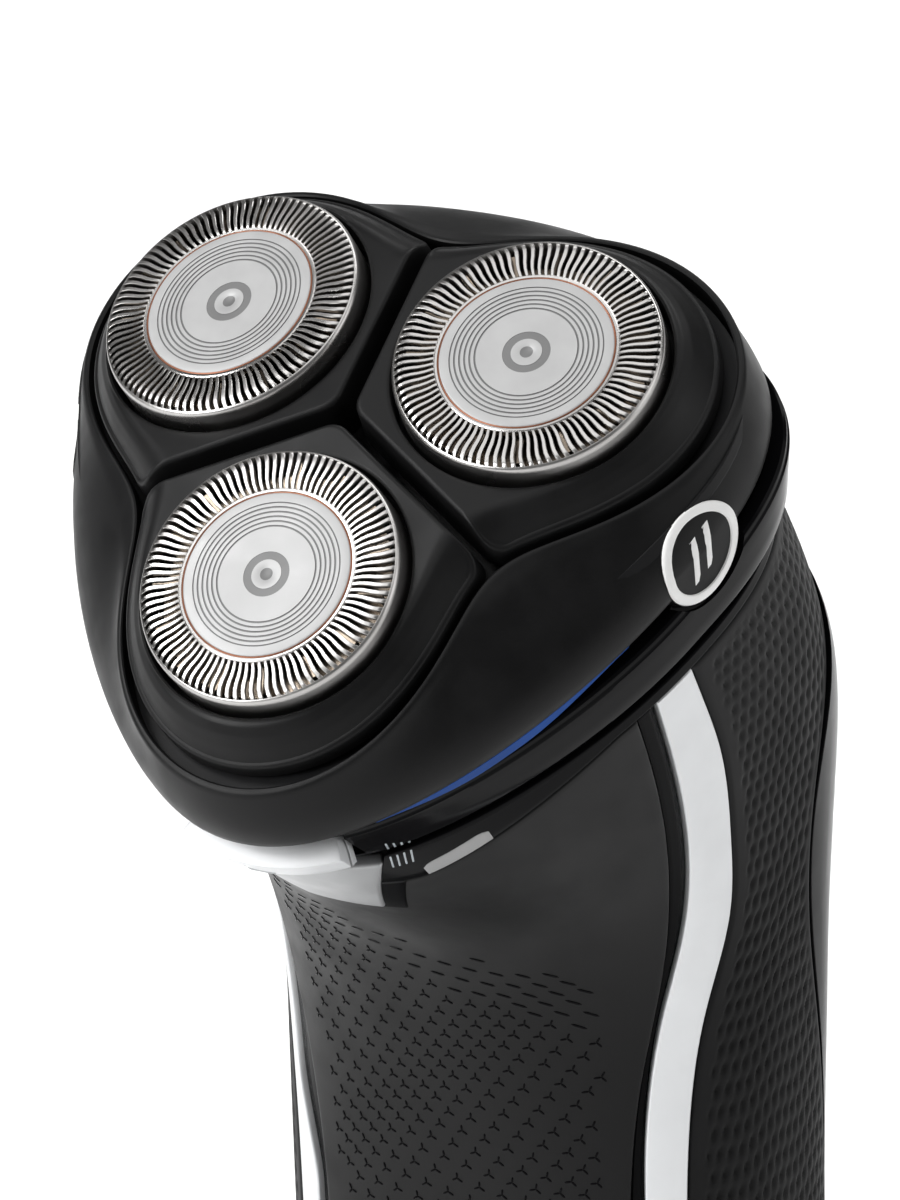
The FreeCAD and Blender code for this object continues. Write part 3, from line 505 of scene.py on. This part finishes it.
def grip_relief_and_shade(across, width, down, points):
    wave = 0.16 * np.sin(2 * math.pi * across / 7.5) + 0.1 * np.sin(2 * math.pi * down / 23)
    row_at = down / SCALE_DOWN + wave
    row = np.floor(row_at)
    ly = row_at - row - 0.5
    lx = np.mod(across / SCALE_ACROSS + 0.5 * row + 0.45 * ly, 1.0) - 0.5
    dimple = np.exp(-(lx / 0.24) ** 2 - (ly / 0.34) ** 2)
    field = (smoothstep((across - 1.3) / 0.7) * smoothstep((width - across - 0.7) / 0.7)
             * smoothstep((down - 1.2) / 0.8) * smoothstep((118 - down) / 3))
    near = np.minimum(np.minimum(across, width - across), np.minimum(down, down.max() - down))
    rounding = 0.22 * (1 - smoothstep(near / 0.6)) ** 2
    # The second value masks the dimple hollows; it is painted into the rubber's colour as shade.
    return 0.24 * dimple * field + rounding, dimple * field


def build_handle():
    for side, word in ((1, "right"), (-1, "left")):
        height = RIGHT_SIDE[:, 90, 2]
        shift = 0 if side > 0 else 2.4 * smoothstep((108 - height) / 12) * smoothstep((height - 62) / 12) / ROUND
        front_edge = STRIP_FRONT + shift
        handle_patch("grip_pad_" + word, STRIP_BACK, GRIP_BACK, "handle", RUBBER, 0.3, gap=0.08,
                     relief_and_shade=grip_relief_and_shade, side=side, nodes=["grip_" + word], slot="rubber_black")
        thicken(bpy.data.objects["grip_pad_" + word], 1.0)
        strip = handle_patch("silver_strip_" + word, front_edge, STRIP_BACK, "handle", SILVER, 1.0, gap=0.07,
                             sink=-0.05, side=side, nodes=["strip_" + word], slot="satin_silver")
        thicken(strip, 1.1, 0.22)
        band = handle_patch("gloss_band_" + word, BAND_EDGE, front_edge, "handle", GLOSS, 1.0, gap=0.05,
                            sink=0.5, side=side, nodes=["band_" + word], slot="gloss_black")
        thicken(band, 0.65)
    build_front_panel()
    build_top_rim()
    build_rim_highlights()
    build_front_plate()


PLATE_LOW, PLATE_HIGH = 104.3, 113.1
PLATE_STEP = 0.5                # distance between the rows of the plate's mesh
BUTTON_Z = 50.0                 # height of the power button's middle


def plate_half(z, grow=0.0):
    """Half width of the front plate, which narrows downwards."""
    return 3.5 + 0.458 * (z - 104.1) + grow


def as_given(points):
    """Places points that are in the frame's own axes already."""
    return np.asarray(points, float)


def plate_cutter(grow=0.1):
    low, high = PLATE_LOW - grow, 120.0
    corners = [(side * plate_half(z, grow), y, z) for z in (low, high) for y in (-60, 0) for side in (-1, 1)]
    return make("plate_hole", corners, BLOCK_FACES, None, [])


def build_front_panel():
    panel = handle_patch("front_panel_skin", -BAND_EDGE, BAND_EDGE, "handle", SATIN, 1.0, gap=0.08,
                         nodes=["front_panel"], slot="satin_black")
    thicken(panel, 1.1, 0.25)
    button_hole = rod("hole", 7.3, (0, -60, BUTTON_Z), (0, 0, BUTTON_Z), None, [], place=as_given, edge=0.01)
    plate_hole = plate_cutter()
    lens_hole = block("lens_hole", (-3.5, -40, BUTTON_Z - 15.8), (3.5, 0, BUTTON_Z - 14.4), place=as_given)
    cut(panel, button_hole, plate_hole, lens_hole)


def surface_tree():
    """Search tree of the whole handle surface, for laying small marks on it."""
    v, u = np.linspace(0, V_BASE, 160), np.linspace(0, 1, 180, endpoint=False)
    points = surface(v[:, None], u[None, :]).reshape(-1, 3)
    return BVHTree.FromPolygons(points.tolist(), grid_quads(160, 180, close_cols=True).tolist())


def on_front(tree, x, z):
    """Point of the front surface at (x, z) and its outward normal."""
    return seen_from_front(tree, x, z)


def build_marks():
    """Rows of small raised dashes below the plate, turning into three-armed marks lower down."""
    tree = surface_tree()
    points, faces = [], []

    def bar(cx, cz, angle, length, width, height=0.07):
        start = len(points)
        dx, dz = math.cos(angle), math.sin(angle)
        for part, (s, w) in enumerate([(-0.5, 0.25), (-0.3, 1), (0.3, 1), (0.5, 0.25)]):
            for side, lift in ((-0.5, -0.05), (-0.3, height), (0.3, height), (0.5, -0.05)):
                x = cx + dx * s * length - dz * side * w * width
                z = cz + dz * s * length + dx * side * w * width
                found = on_front(tree, x, z)
                if found is None:
                    del points[start:]
                    return
                points.append(found[0] + found[1] * (lift if part in (1, 2) else min(lift, 0.0)))
        faces.extend((grid_quads(4, 4) + start).tolist())

    for row in range(30):
        for col in range(-8, 9):
            x = (col + 0.5 * (row % 2)) * 2.1
            drop = 0.028 * x * x
            z = 103.6 - row * 1.45 - drop * 0.35 + 0.9 * math.sin(0.25 * x + 0.4 * row)
            if abs(x) > 15.5 - 0.12 * row or z > 96 - 0.38 * x + 0.8 * math.sin(2.3 * x):
                continue
            slope = -0.22 * x / 4 * 0.6
            if z > 91 - 0.45 * x:
                bar(x, z, slope - 0.15, 1.35, 0.26)
            else:
                for arm in range(3):
                    turn = math.radians(90 + 120 * arm) + slope
                    bar(x + 0.3 * math.cos(turn), z + 0.3 * math.sin(turn), turn, 0.62, 0.2)
    make("panel_marks", points, faces, "handle", GLOSS, slot="gloss_black", angle=60)


def build_top_rim():
    rows = 6
    u = np.linspace(0, 1, 360, endpoint=False)[None, :]
    t = np.linspace(0, 1, rows)[:, None]
    rim = make("dark_top_rim", surface(t * (v_top(u) - 0.06), u, -0.05), grid_quads(rows, 360, close_cols=True),
               "handle", GLOSS, nodes=["top_rim"], slot="satin_silver")
    thicken(rim, 1.2, 0.15)
    cut(rim, plate_cutter())


def on_skirt_of_handle(tree, x, z, lift):
    """Point lifted off the handle at (x, z) of the head's frame, seen from straight in front."""
    point, normal = seen_from_front(tree, x, z, in_head((x, FRONT_Y, z)), HEAD_AXES[1])
    return point + normal * lift


def build_rim_highlights():
    """Pale grey bar set into the lower edge of the dark rim on each side of the plate; it is a painted highlight,
    standing in for a reflection on the gloss black there.
    """
    tree = surface_tree()
    for side, word in ((1, "right"), (-1, "left")):
        grid = []
        for k in range(6):
            row = []
            for x in np.linspace(9.7, 14.7, 14):
                low = RIM_BASE - (22.9 - x) * 0.285 + 0.12
                high = 1.25 + 0.45 * smoothstep((x - 9.7) / 0.6) * smoothstep((14.7 - x) / 0.6)
                row.append(on_skirt_of_handle(tree, side * x, low + high * k / 5, 0.1))
            grid.append(row)
        bar = make("rim_highlight_" + word, grid, grid_quads(6, 14), "handle", HIGHLIGHT_GREY, slot="satin_silver",
                   flip=side > 0)
        thicken(bar, 0.3, 0.08)


def build_front_plate():
    tree = surface_tree()

    def squeezed(x, z, low, high):
        """Height z moved down where the handle's front ends below high."""
        top = high
        while on_front(tree, x, top)[0][1] > 0:
            top -= 0.05
        return low + (z - low) * (top - 0.05 - low) / (high - low)

    def patch(low, high, grow, lift):
        zs = np.linspace(high, low, int((high - low) / PLATE_STEP) + 1)
        grid = []
        for z in zs:
            row = []
            for x in np.linspace(-1, 1, 26) * plate_half(z, grow):
                point, normal = on_front(tree, x, squeezed(x, z, low, high))
                row.append(point + normal * lift)
            grid.append(row)
        return grid, grid_quads(len(zs), 26)

    plate = make("front_plate_cover", *patch(PLATE_LOW, PLATE_HIGH, 0, 0.28), "handle", PLATE,
                 nodes=["front_plate"], slot="button_silver")
    thicken(plate, 1.2, 0.28)
    frame_points, frame_faces = patch(PLATE_LOW - 0.45, PLATE_HIGH - 3.2, 1.9, 0.1)
    surround = make("plate_surround", frame_points, frame_faces, "handle", GLOSS, slot="gloss_black")
    thicken(surround, 0.6, 0.2)
    cut(surround, plate_cutter(0.06))


# ---- head: skirt, collar, petals --------------------------------------------------------------------------

HINGE_Y, HINGE_Z, HINGE_R = 25.2, -14.6, 1.9
SKIRT_LEVELS = [-13.8, -11.6, -8.8, -4.6]


def lip_height(turn):
    """The skirt's upper edge dips at the three lobes."""
    return -6.1 - 1.6 * np.cos(3 * turn)


def skirt_base(turn, inset):
    return egg(29.2 - inset, 33.5 - inset, 26.5 - inset, 0.3, 2.03, turn=turn, back_square=2.1)


def skirt_ring(turn, level, inset=0.0):
    """Ring of the skirt at a level between its base (-13.8) and its upper edge (-4.6)."""
    base, lip = skirt_base(turn, inset), lobed(turn, 1.1 - inset)
    rings = np.array([base, base, base * 0.75 + lip * 0.25, lip])
    flat = spline(SKIRT_LEVELS, rings, np.clip(level, -13.8, -4.6))
    z = -13.8 + (level + 13.8) * (lip_height(turn) + 13.8) / 9.2
    return np.concatenate([flat, z[:, None]], -1)


def build_skirt():
    turn = np.linspace(0, 2 * math.pi, 240, endpoint=False)
    rings = [skirt_ring(turn, -13.8, 1.5), skirt_ring(turn, -13.8, 0.25), skirt_ring(turn, -13.65, 0.07)]
    rings += [skirt_ring(turn, z) for z in (-13.4, -12.6, -11.6, -10.6, -9.7, -8.8, -7.9, -7.0, -6.2, -5.5, -5.0)]
    for grow, lift in ((1.05, -0.12), (0.88, 0), (0.66, 0.04), (0.5, -0.04), (0.42, -0.3), (0.4, -1.5)):
        rings.append(np.concatenate([lobed(turn, grow), (lip_height(turn) + lift)[:, None]], -1))
    rings.append(skirt_ring(turn, -9.0, 1.2))
    points = in_head(np.array(rings))
    skirt = make("head_skirt_shell", points, grid_quads(len(rings), 240, True, True), "head", SATIN,
                 nodes=["head_skirt"], slot="satin_black")
    weld(skirt, 0.0001)
    hinge = [rod("c%d" % s, HINGE_R + 0.35, (s * 6.0, HINGE_Y, HINGE_Z), (s * 9.8, HINGE_Y, HINGE_Z), None, [],
                 edge=0.01) for s in (-1, 1)]
    cut(skirt, *hinge)
    rod("head_knuckle", HINGE_R, (-6, HINGE_Y, HINGE_Z), (6, HINGE_Y, HINGE_Z), "head", SATIN,
        nodes=["head_skirt"], slot="satin_black")


def collar_ring(turn, z, inset=0.0):
    low = egg(27.5 - inset, 26.5 - inset, 25.5 - inset, 0.36, 2.15, centre=-4, turn=turn, back_square=2.5)
    high = egg(28.6 - inset, 28.2 - inset, 27.5 - inset, 0.35, 2.1, centre=-4, turn=turn, back_square=2.7)
    share = (z + 21.0) / 6.0
    flat = low * (1 - share) + high * share
    return np.concatenate([flat, np.full(flat.shape[:-1] + (1,), z)], -1)


BADGE_AT = np.array([28.9, -0.6, -12.6])
BADGE_OUT = np.array([0.9, -0.1, 0.36]) / np.linalg.norm([0.9, -0.1, 0.36])
BADGE_R = 4.4


def build_collar():
    turn = np.linspace(0, 2 * math.pi, 240, endpoint=False)
    levels = [(-21.0, 3.2), (-21.0, 0.3), (-20.85, 0.08), (-20.5, 0.0), (-19, 0), (-17.5, 0),
              (-16.3, 0.0), (-16.0, 0.02), (-15.85, 0.14), (-15.7, 0.2), (-15.45, 0.2), (-15.2, 0.26),
              (-15.0, 0.5), (-15.0, 1.5)]
    points = in_head(np.array([collar_ring(turn, z, inset) for z, inset in levels]))
    collar = make("gloss_collar", points, grid_quads(len(levels), 240, True, True), "handle", GLOSS,
                  nodes=["collar"], slot="gloss_black")
    weld(collar, 0.0001)
    cutters = [block("c", (-7.15, -40, -20.1), (7.15, -24, -15.6)),
               rod("c", HINGE_R + 0.35, (-6.35, HINGE_Y, HINGE_Z), (6.35, HINGE_Y, HINGE_Z), None, [], edge=0.01)]
    for side in (-1, 1):
        flip = np.array([side, 1, 1])
        cutters.append(rod("c", BADGE_R + 0.4, (BADGE_AT - 2.2 * BADGE_OUT) * flip,
                           (BADGE_AT + 6 * BADGE_OUT) * flip, None, [], edge=0.01))
    cut(collar, *cutters)
    for side, word in ((-1, "left"), (1, "right")):
        rod("collar_ear_" + word, HINGE_R, (side * 6.35, HINGE_Y, HINGE_Z), (side * 9.4, HINGE_Y, HINGE_Z),
            "handle", GLOSS, slot="gloss_black")
        ends = sorted((side * 6.35, side * 9.4))
        block("collar_web_" + word, (ends[0], 22, -16.5), (ends[1], HINGE_Y, HINGE_Z), "handle", GLOSS,
              slot="gloss_black", edge=0.3)


def build_accent_ring():
    """Blue line just under the skirt on each side of the button; it thins out at both ends."""
    arcs = []
    for start, end in ((29, 74), (-74, -29)):
        turn = np.radians(np.linspace(start, end, 60))
        height = 0.15 + 1.0 * smoothstep(np.minimum(np.arange(60), 59 - np.arange(60)) / 25)
        rings = []
        for inset, drop in ((0.9, 0), (0.45, 0), (0.3, 0.1), (0.3, 0.9), (0.45, 1), (0.9, 1)):
            flat = skirt_base(turn, inset)
            rings.append(np.concatenate([flat, (-13.9 - height * drop)[:, None]], -1))
        arcs.append((np.array(rings), grid_quads(6, 60)))
    points, faces = joined(arcs)
    ring = make("accent_line", in_head(points), faces, "handle", BLUE, nodes=["accent_ring"], slot="accent_blue")
    thicken(ring, 0.4)


def build_collar_ticks():
    """Four fine pale ticks right of the button, from the collar across the gap onto the rim."""
    collar, handle = collar_tree(), surface_tree()
    points, faces = [], []
    for k in range(4):
        top, low = np.array([8.95 + 0.42 * k, -19.3 - 0.42 * k]), np.array([7.9 + 0.5 * k, -24.1])
        for tree, levels in ((collar, (top[1], -20.8)), (handle, (-21.65, low[1]))):
            start = len(points)
            for step, z in enumerate(np.linspace(levels[0], levels[1], 6)):
                middle = low[0] + (top[0] - low[0]) * (z - low[1]) / (top[1] - low[1])
                for across, lift in ((-0.09, -0.04), (-0.06, 0.04), (0.06, 0.04), (0.09, -0.04)):
                    lift = -0.04 if step in (0, 5) else lift
                    if tree is handle:
                        points.append(on_skirt_of_handle(handle, middle + across, z, lift + 0.05))
                        continue
                    point, normal = seen_from_front(collar, middle + across, z)
                    points.append(in_head(point + normal * lift))
            faces.extend((grid_quads(6, 4) + start).tolist())
    make("collar_ticks", points, faces, "handle", LENS, slot="lens_clear", angle=60)


def collar_tree():
    turn = np.linspace(0, 2 * math.pi, 360, endpoint=False)
    zs = np.linspace(-15, -21, 13)
    points = np.array([collar_ring(turn, z) for z in zs]).reshape(-1, 3)
    return BVHTree.FromPolygons(points.tolist(), grid_quads(13, 360, close_cols=True).tolist())


def patch_on(surface_at, x0, x1, z0, z1, step):
    xs, zs = np.arange(x0, x1 + step / 2, step), np.arange(z1, z0 - step / 2, -step)
    grid = [[surface_at(x, z) for x in xs] for z in zs]
    return np.array(grid), len(zs), len(xs)


BUTTON_PROUD = 1.7              # how far the release button stands out of the collar


def build_release_button():
    tree = collar_tree()

    def raised(x, z, extra=0.0):
        point, normal = seen_from_front(tree, x, z)
        crown = 0.25 * (1 - (x / 6.8) ** 2) - 0.9 * smoothstep((-18.0 - z) / 1.7)
        return point + normal * (BUTTON_PROUD + crown + extra)

    grid, rows, cols = patch_on(raised, -6.7, 6.7, -19.55, -16.1, 0.335)
    button = make("release_button_cap", in_head(grid), grid_quads(rows, cols), "release_button", BUTTON,
                  nodes=["release_button"], slot="button_silver")
    thicken(button, 2.8, 0.3)
    corners = [(0.0, -19.15), (1.15, -17.75), (-1.15, -17.75)]
    rings = []
    for grow, lift in ((1.0, -0.05), (1.0, 0.05), (0.8, 0.11)):
        middle = np.mean(corners, axis=0)
        rings.append([raised(*(middle + (np.array(c) - middle) * grow), extra=lift) for c in corners])
    faces = [[k, (k + 1) % 3, 3 + (k + 1) % 3, 3 + k] for k in range(3)]
    faces += [[3 + k, 3 + (k + 1) % 3, 6 + (k + 1) % 3, 6 + k] for k in range(3)] + [[6, 7, 8]]
    arrow = make("release_arrow", in_head(np.array(rings).reshape(-1, 3)), faces, "release_button", GREY,
                 slot="spindle_grey", angle=20)
    weld(arrow)


UNIT_RADIUS = 16.0              # from the head's axis to the axis of each shaving unit
GROOVE = 0.9                    # half the gap between two petals
PETAL_HOLE, PETAL_TOP, PETAL_BASE = 11.7, -1.95, -6.3


def round_and(a, b, radius):
    """Distance to the corner of two half-planes, the corner rounded by radius."""
    return (np.minimum(-radius, np.maximum(a, b))
            + np.hypot(np.maximum(radius + a, 0), np.maximum(radius + b, 0)))


def petal_distance(x, y):
    one, two = 0.5 * x + 0.8660254 * y + GROOVE, -0.5 * x + 0.8660254 * y + GROOVE
    r, turn = np.hypot(x, y), np.arctan2(x, -y)
    outer = r - np.linalg.norm(lobed(turn), axis=-1)
    return round_and(round_and(one, two, 0.9), outer, 1.4)


def petal_reach(turn):
    """Distance from the cap's centre to the petal's outline in each direction."""
    low, high = np.full(turn.shape, 12.3), np.full(turn.shape, 32.0)
    for _ in range(40):
        mid = (low + high) / 2
        inside = petal_distance(mid * np.sin(turn), -UNIT_RADIUS - mid * np.cos(turn)) < 0
        low, high = np.where(inside, mid, low), np.where(inside, high, mid)
    return low


def petal_rings():
    turn = np.linspace(0, 2 * math.pi, 240, endpoint=False)
    reach = petal_reach(turn)
    span = reach - PETAL_HOLE
    place = unit_placer("front")
    rings = []

    def crown(radius):
        """Flat top that falls away in a soft shoulder along the outer edge, down to the skirt's lip."""
        flat = np.stack([radius * np.sin(turn), -radius * np.cos(turn), np.zeros(turn.shape)], -1)
        x, y, height = ((place(flat) - HEAD_AT) @ HEAD_AXES.T).T
        around = np.arctan2(x, -y)
        inside = np.linalg.norm(lobed(around), axis=-1) - np.hypot(x, y)
        share = np.interp(inside, [0, 0.5, 1.2, 1.9, 2.6, 3.3], [1.0, 0.74, 0.44, 0.21, 0.06, 0.0])
        depth = np.maximum(PETAL_TOP - (lip_height(around) + 0.2 - height), 0.1)
        return PETAL_TOP - depth * share

    def ring(radius, z):
        rings.append(np.stack([radius * np.sin(turn), -radius * np.cos(turn), np.broadcast_to(z, turn.shape)], -1))

    rim = crown(np.full(turn.shape, PETAL_HOLE))
    for grow, drop in ((0.0, 3.5), (0.0, 0.3), (0.08, 0.1), (0.25, 0.01)):
        ring(PETAL_HOLE + grow, np.maximum(rim - drop, PETAL_BASE))
    edge = np.minimum(0.45, span * 0.4)
    start, end = 0.35, span - edge
    for share in np.linspace(0, 1, 16):
        where = PETAL_HOLE + start + share * np.maximum(end - start, 0.05)
        ring(where, crown(where))
    last = rings[-1][:, 2]
    for share in (0.3, 0.55, 0.76, 0.92, 1.0):
        ring(reach - edge * (1 - share), last - edge * (1 - math.sqrt(1 - share ** 2)))
    foot = np.minimum(PETAL_BASE, last - edge - 0.15)
    ring(reach + 0.02, (last + foot) / 2)
    ring(reach + 0.05, foot)
    ring(reach - 0.8, foot)
    return np.array(rings)


def revolve(profile):
    turn = np.linspace(0, 2 * math.pi, CAP_STEPS, endpoint=False)
    return np.array([[(r * math.cos(t), r * math.sin(t), z) for t in turn] for r, z in profile])


BARS = 92                       # bars between the slots of one cap
CAP_STEPS = 180                 # steps round the turned parts of a cap


def cap_bars():
    r = np.array([7.6, 7.85, 8.4, 9.0, 9.6, 10.2, 10.65, 10.92, 11.08])
    z = np.array([-0.07, -0.01, 0.0, 0.0, 0.0, -0.02, -0.09, -0.2, -0.36])
    share = (r - r[0]) / (r[-1] - r[0])
    swirl = 0.045 * share + 0.010 * np.sin(2 * math.pi * share)
    half = math.pi / BARS * 0.5
    section = [(-1, -0.34), (-1, -0.05), (-0.72, 0), (0.72, 0), (1, -0.05), (1, -0.34)]
    points, faces = [], []
    for k in range(BARS):
        base = 2 * math.pi * k / BARS
        grid = []
        for s in range(len(r)):
            for side, drop in section:
                a = base + swirl[s] + side * half
                grid.append((r[s] * math.cos(a), r[s] * math.sin(a), z[s] + drop))
        faces.append(grid_quads(len(r), 6, close_cols=True)[:, ::-1] + len(points))
        points.extend(grid)
    return np.array(points), np.concatenate(faces)


def joined(parts):
    points, faces, start = [], [], 0
    for p, f in parts:
        p = np.asarray(p).reshape(-1, 3)
        points.append(p)
        faces.extend((np.asarray(f) + start).tolist())
        start += len(p)
    return np.concatenate(points), faces


def build_units():
    outer_rim = [(11.0, -0.26), (11.1, -0.3), (11.2, -0.42), (11.28, -0.62), (11.3, -0.9), (11.3, -3.55),
                 (11.2, -3.6), (10.75, -3.6), (10.7, -3.5), (10.7, -0.9), (10.85, -0.5)]
    inner_rim = [(7.36, -0.6), (7.36, -0.1), (7.42, -0.03), (7.6, -0.01), (7.72, -0.08), (7.74, -0.6)]
    seal = [(7.26, -0.3), (7.26, 0.0), (7.31, 0.02), (7.38, -0.02), (7.38, -0.3)]
    lines = [(4.2, 4.36), (4.62, 4.78), (5.04, 5.2), (5.46, 5.62), (5.88, 6.04), (6.3, 6.42)]
    emblem = [(1.3, 2.0)]
    for name in ("front", "right", "left"):
        place = unit_placer(name)
        rings = petal_rings()
        petal = make("petal_shell_" + name, place(rings), grid_quads(len(rings), rings.shape[1], close_cols=True),
                     "petal_" + name, SATIN, nodes=["petal_" + name], slot="satin_black")
        weld(petal, 0.0001)
        parts = [(revolve(p), grid_quads(len(p), CAP_STEPS, True, True)) for p in (outer_rim, inner_rim)]
        parts.append(cap_bars())
        points, faces = joined(parts)
        cap = make("cap_foil_" + name, place(points), faces, "cap_" + name, STEEL, nodes=["cap_" + name],
                   slot="cap_steel")
        weld(cap, 0.0001)
        ring = make("cap_seal_" + name, place(revolve(seal).reshape(-1, 3)),
                    grid_quads(len(seal), CAP_STEPS, True, True), "cap_" + name, COPPER, slot="disc_grey")
        weld(ring, 0.0001)
        profile, kinds = disc_profile(lines, emblem)
        disc = make("cap_plate_" + name, place(revolve(profile).reshape(-1, 3)),
                    grid_quads(len(profile), CAP_STEPS, close_cols=True), "cap_" + name, [DISC, DISC_LINE],
                    face_mats=np.repeat(kinds, CAP_STEPS), nodes=["cap_disc_" + name], slot="disc_grey")
        weld(disc, 0.0001)


def disc_profile(lines, emblem):
    """Turned disc from the rim inwards: (r, z) points, and for each step the material it shows."""
    profile, kinds = [(7.25, -0.6), (7.25, -0.02), (7.2, 0.03), (7.12, 0.05)], [0, 0, 0]
    for low, high in sorted(lines, reverse=True):
        profile += [(high, 0.05), (high - 0.02, -0.01), (low + 0.02, -0.01), (low, 0.05)]
        kinds += [0, 1, 1, 1]
    for low, high in sorted(emblem, reverse=True):
        profile += [(high, 0.05), (high - 0.02, 0.02), (low + 0.02, 0.02), (low, 0.05)]
        kinds += [0, 1, 1, 1]
    profile += [(0.55, 0.05), (0.5, 0.02), (0.001, 0.02)]
    kinds += [0, 1, 1]
    return profile, kinds


# ---- badges ---------------------------------------------------------------------------------------------

def build_badges():
    turn = np.linspace(0, 2 * math.pi, 360, endpoint=False)
    zs = [-5.0, -6.2, -7.4, -8.8, -9.7, -10.6, -11.6, -13.8, -16.0, -19.0]
    grid = [skirt_ring(turn, z) for z in zs]
    tree = BVHTree.FromPolygons(np.array(grid).reshape(-1, 3).tolist(),
                                grid_quads(len(zs), 360, close_cols=True).tolist())
    across = np.cross([0, 0, 1.0], BADGE_OUT)
    across /= np.linalg.norm(across)
    up = np.cross(BADGE_OUT, across)

    def at(a, b, lift):
        start = BADGE_AT + across * a + up * b
        hit = tree.ray_cast(Vector(start + BADGE_OUT * 9), Vector(-BADGE_OUT))
        base = np.array(hit[0]) if hit[0] is not None else start
        return base + BADGE_OUT * (lift + 0.12)

    profile = [(0.02, 0.0, 0), (1.5, 0.0, 0), (3.0, 0.0, 0), (3.42, 0.0, 1), (3.5, 0.14, 1), (3.62, 0.2, 1),
               (4.1, 0.2, 1), (4.25, 0.14, 1), (4.32, 0.0, 0), (4.4, -0.3, 0), (4.4, -1.5, 0), (0.02, -1.5, 0)]
    count = 96
    angles = np.linspace(0, 2 * math.pi, count, endpoint=False)
    rings = np.array([[at(r * math.cos(t), r * math.sin(t), lift) for t in angles] for r, lift, _ in profile])
    kinds = np.repeat([k for _, _, k in profile[:-1]], count)
    bars = []
    for centre in (-0.85, 0.85):
        rows, cols = 9, 4
        cell = []
        for i in range(rows):
            for j in range(cols):
                b = -1.9 + 3.8 * i / (rows - 1)
                a = centre + (-0.38 + 0.76 * j / (cols - 1)) + 0.42 * b
                lift = 0.13 if 0 < i < rows - 1 and 0 < j < cols - 1 else -0.02
                cell.append(at(a, b, lift))
        bars.append((np.array(cell), grid_quads(rows, cols)))
    mark_points, mark_faces = joined(bars)
    for side, word in ((1, "right"), (-1, "left")):
        flip = np.array([side, 1, 1])
        badge = make("badge_disc_" + word, in_head(rings * flip), grid_quads(len(profile), count, close_cols=True),
                     "head", [SATIN, WHITE], face_mats=kinds, nodes=["badge_" + word], slot="badge_white")
        weld(badge, 0.0001)
        mark = make("badge_mark_" + word, in_head(mark_points * flip), mark_faces, "head", WHITE,
                    slot="badge_white", angle=60)
        weld(mark, 0.0001)


# ---- stage, light, camera -----------------------------------------------------------------------------------

def area(name, at, target, size, power):
    lamp = bpy.data.lights.new(name, "AREA")
    lamp.shape, lamp.size, lamp.size_y, lamp.energy = "RECTANGLE", size[0], size[1], power
    obj = bpy.data.objects.new(name, lamp)
    obj.location = Vector(at)
    obj.rotation_euler = (Vector(target) - Vector(at)).to_track_quat("-Z", "Y").to_euler()
    bpy.context.scene.collection.objects.link(obj)


def build_stage():
    mesh = bpy.data.meshes.new("floor")
    mesh.from_pydata([(-4, -4, 0), (4, -4, 0), (4, 4, 0), (-4, 4, 0)], [], [(0, 1, 2, 3)])
    floor = bpy.data.objects.new("floor", mesh)
    bpy.context.scene.collection.objects.link(floor)
    mesh.materials.append(material("pale_floor", (0.86, 0.86, 0.86), 0.7, grain=2.0, bump=0.02, mottle=0.01))
    world = bpy.data.worlds.new("studio")
    bpy.context.scene.world = world
    world.use_nodes = True
    background = world.node_tree.nodes["Background"]
    background.inputs["Color"].default_value = (1, 1, 1, 1)
    background.inputs["Strength"].default_value = 0.16
    middle = (0, 0, 0.1)
    area("key", (-0.55, -0.25, 0.85), middle, (0.3, 0.3), 4)
    area("front", (-0.42, -0.64, 0.52), middle, (0.5, 0.5), 7)
    area("side", (0.9, 0.3, 0.5), middle, (0.6, 0.9), 3.0)
    area("top_back", (0.0, 0.9, 0.9), middle, (1.0, 0.3), 5.0)
    area("floor_wash", (0, 0, 2.6), (0, 0, 0), (2.6, 2.6), 34)
    bpy.context.scene.view_settings.view_transform = "Standard"


def build_camera():
    """Slightly rolled, from the front right and above."""
    lens = bpy.data.cameras.new("camera")
    lens.lens, lens.sensor_width, lens.clip_start, lens.clip_end = 288.7, 36, 0.05, 20
    cam = bpy.data.objects.new("camera", lens)
    right = Vector((0.87531, 0.46923, -0.11686))
    down = Vector((0.16183, -0.51198, -0.84361))
    ahead = Vector((-0.45568, 0.71951, -0.52408))
    turn = Matrix((right, -down, -ahead)).transposed().to_4x4()
    cam.matrix_world = Matrix.Translation(Vector((365.216, -577.196, 540.098)) * MM) @ turn
    bpy.context.scene.collection.objects.link(cam)
    bpy.context.scene.camera = cam


finish_cad_nodes()
build_camera()
build_stage()
build_handle()
build_marks()
build_skirt()
build_collar()
build_accent_ring()
build_collar_ticks()
build_release_button()
build_units()
build_badges()
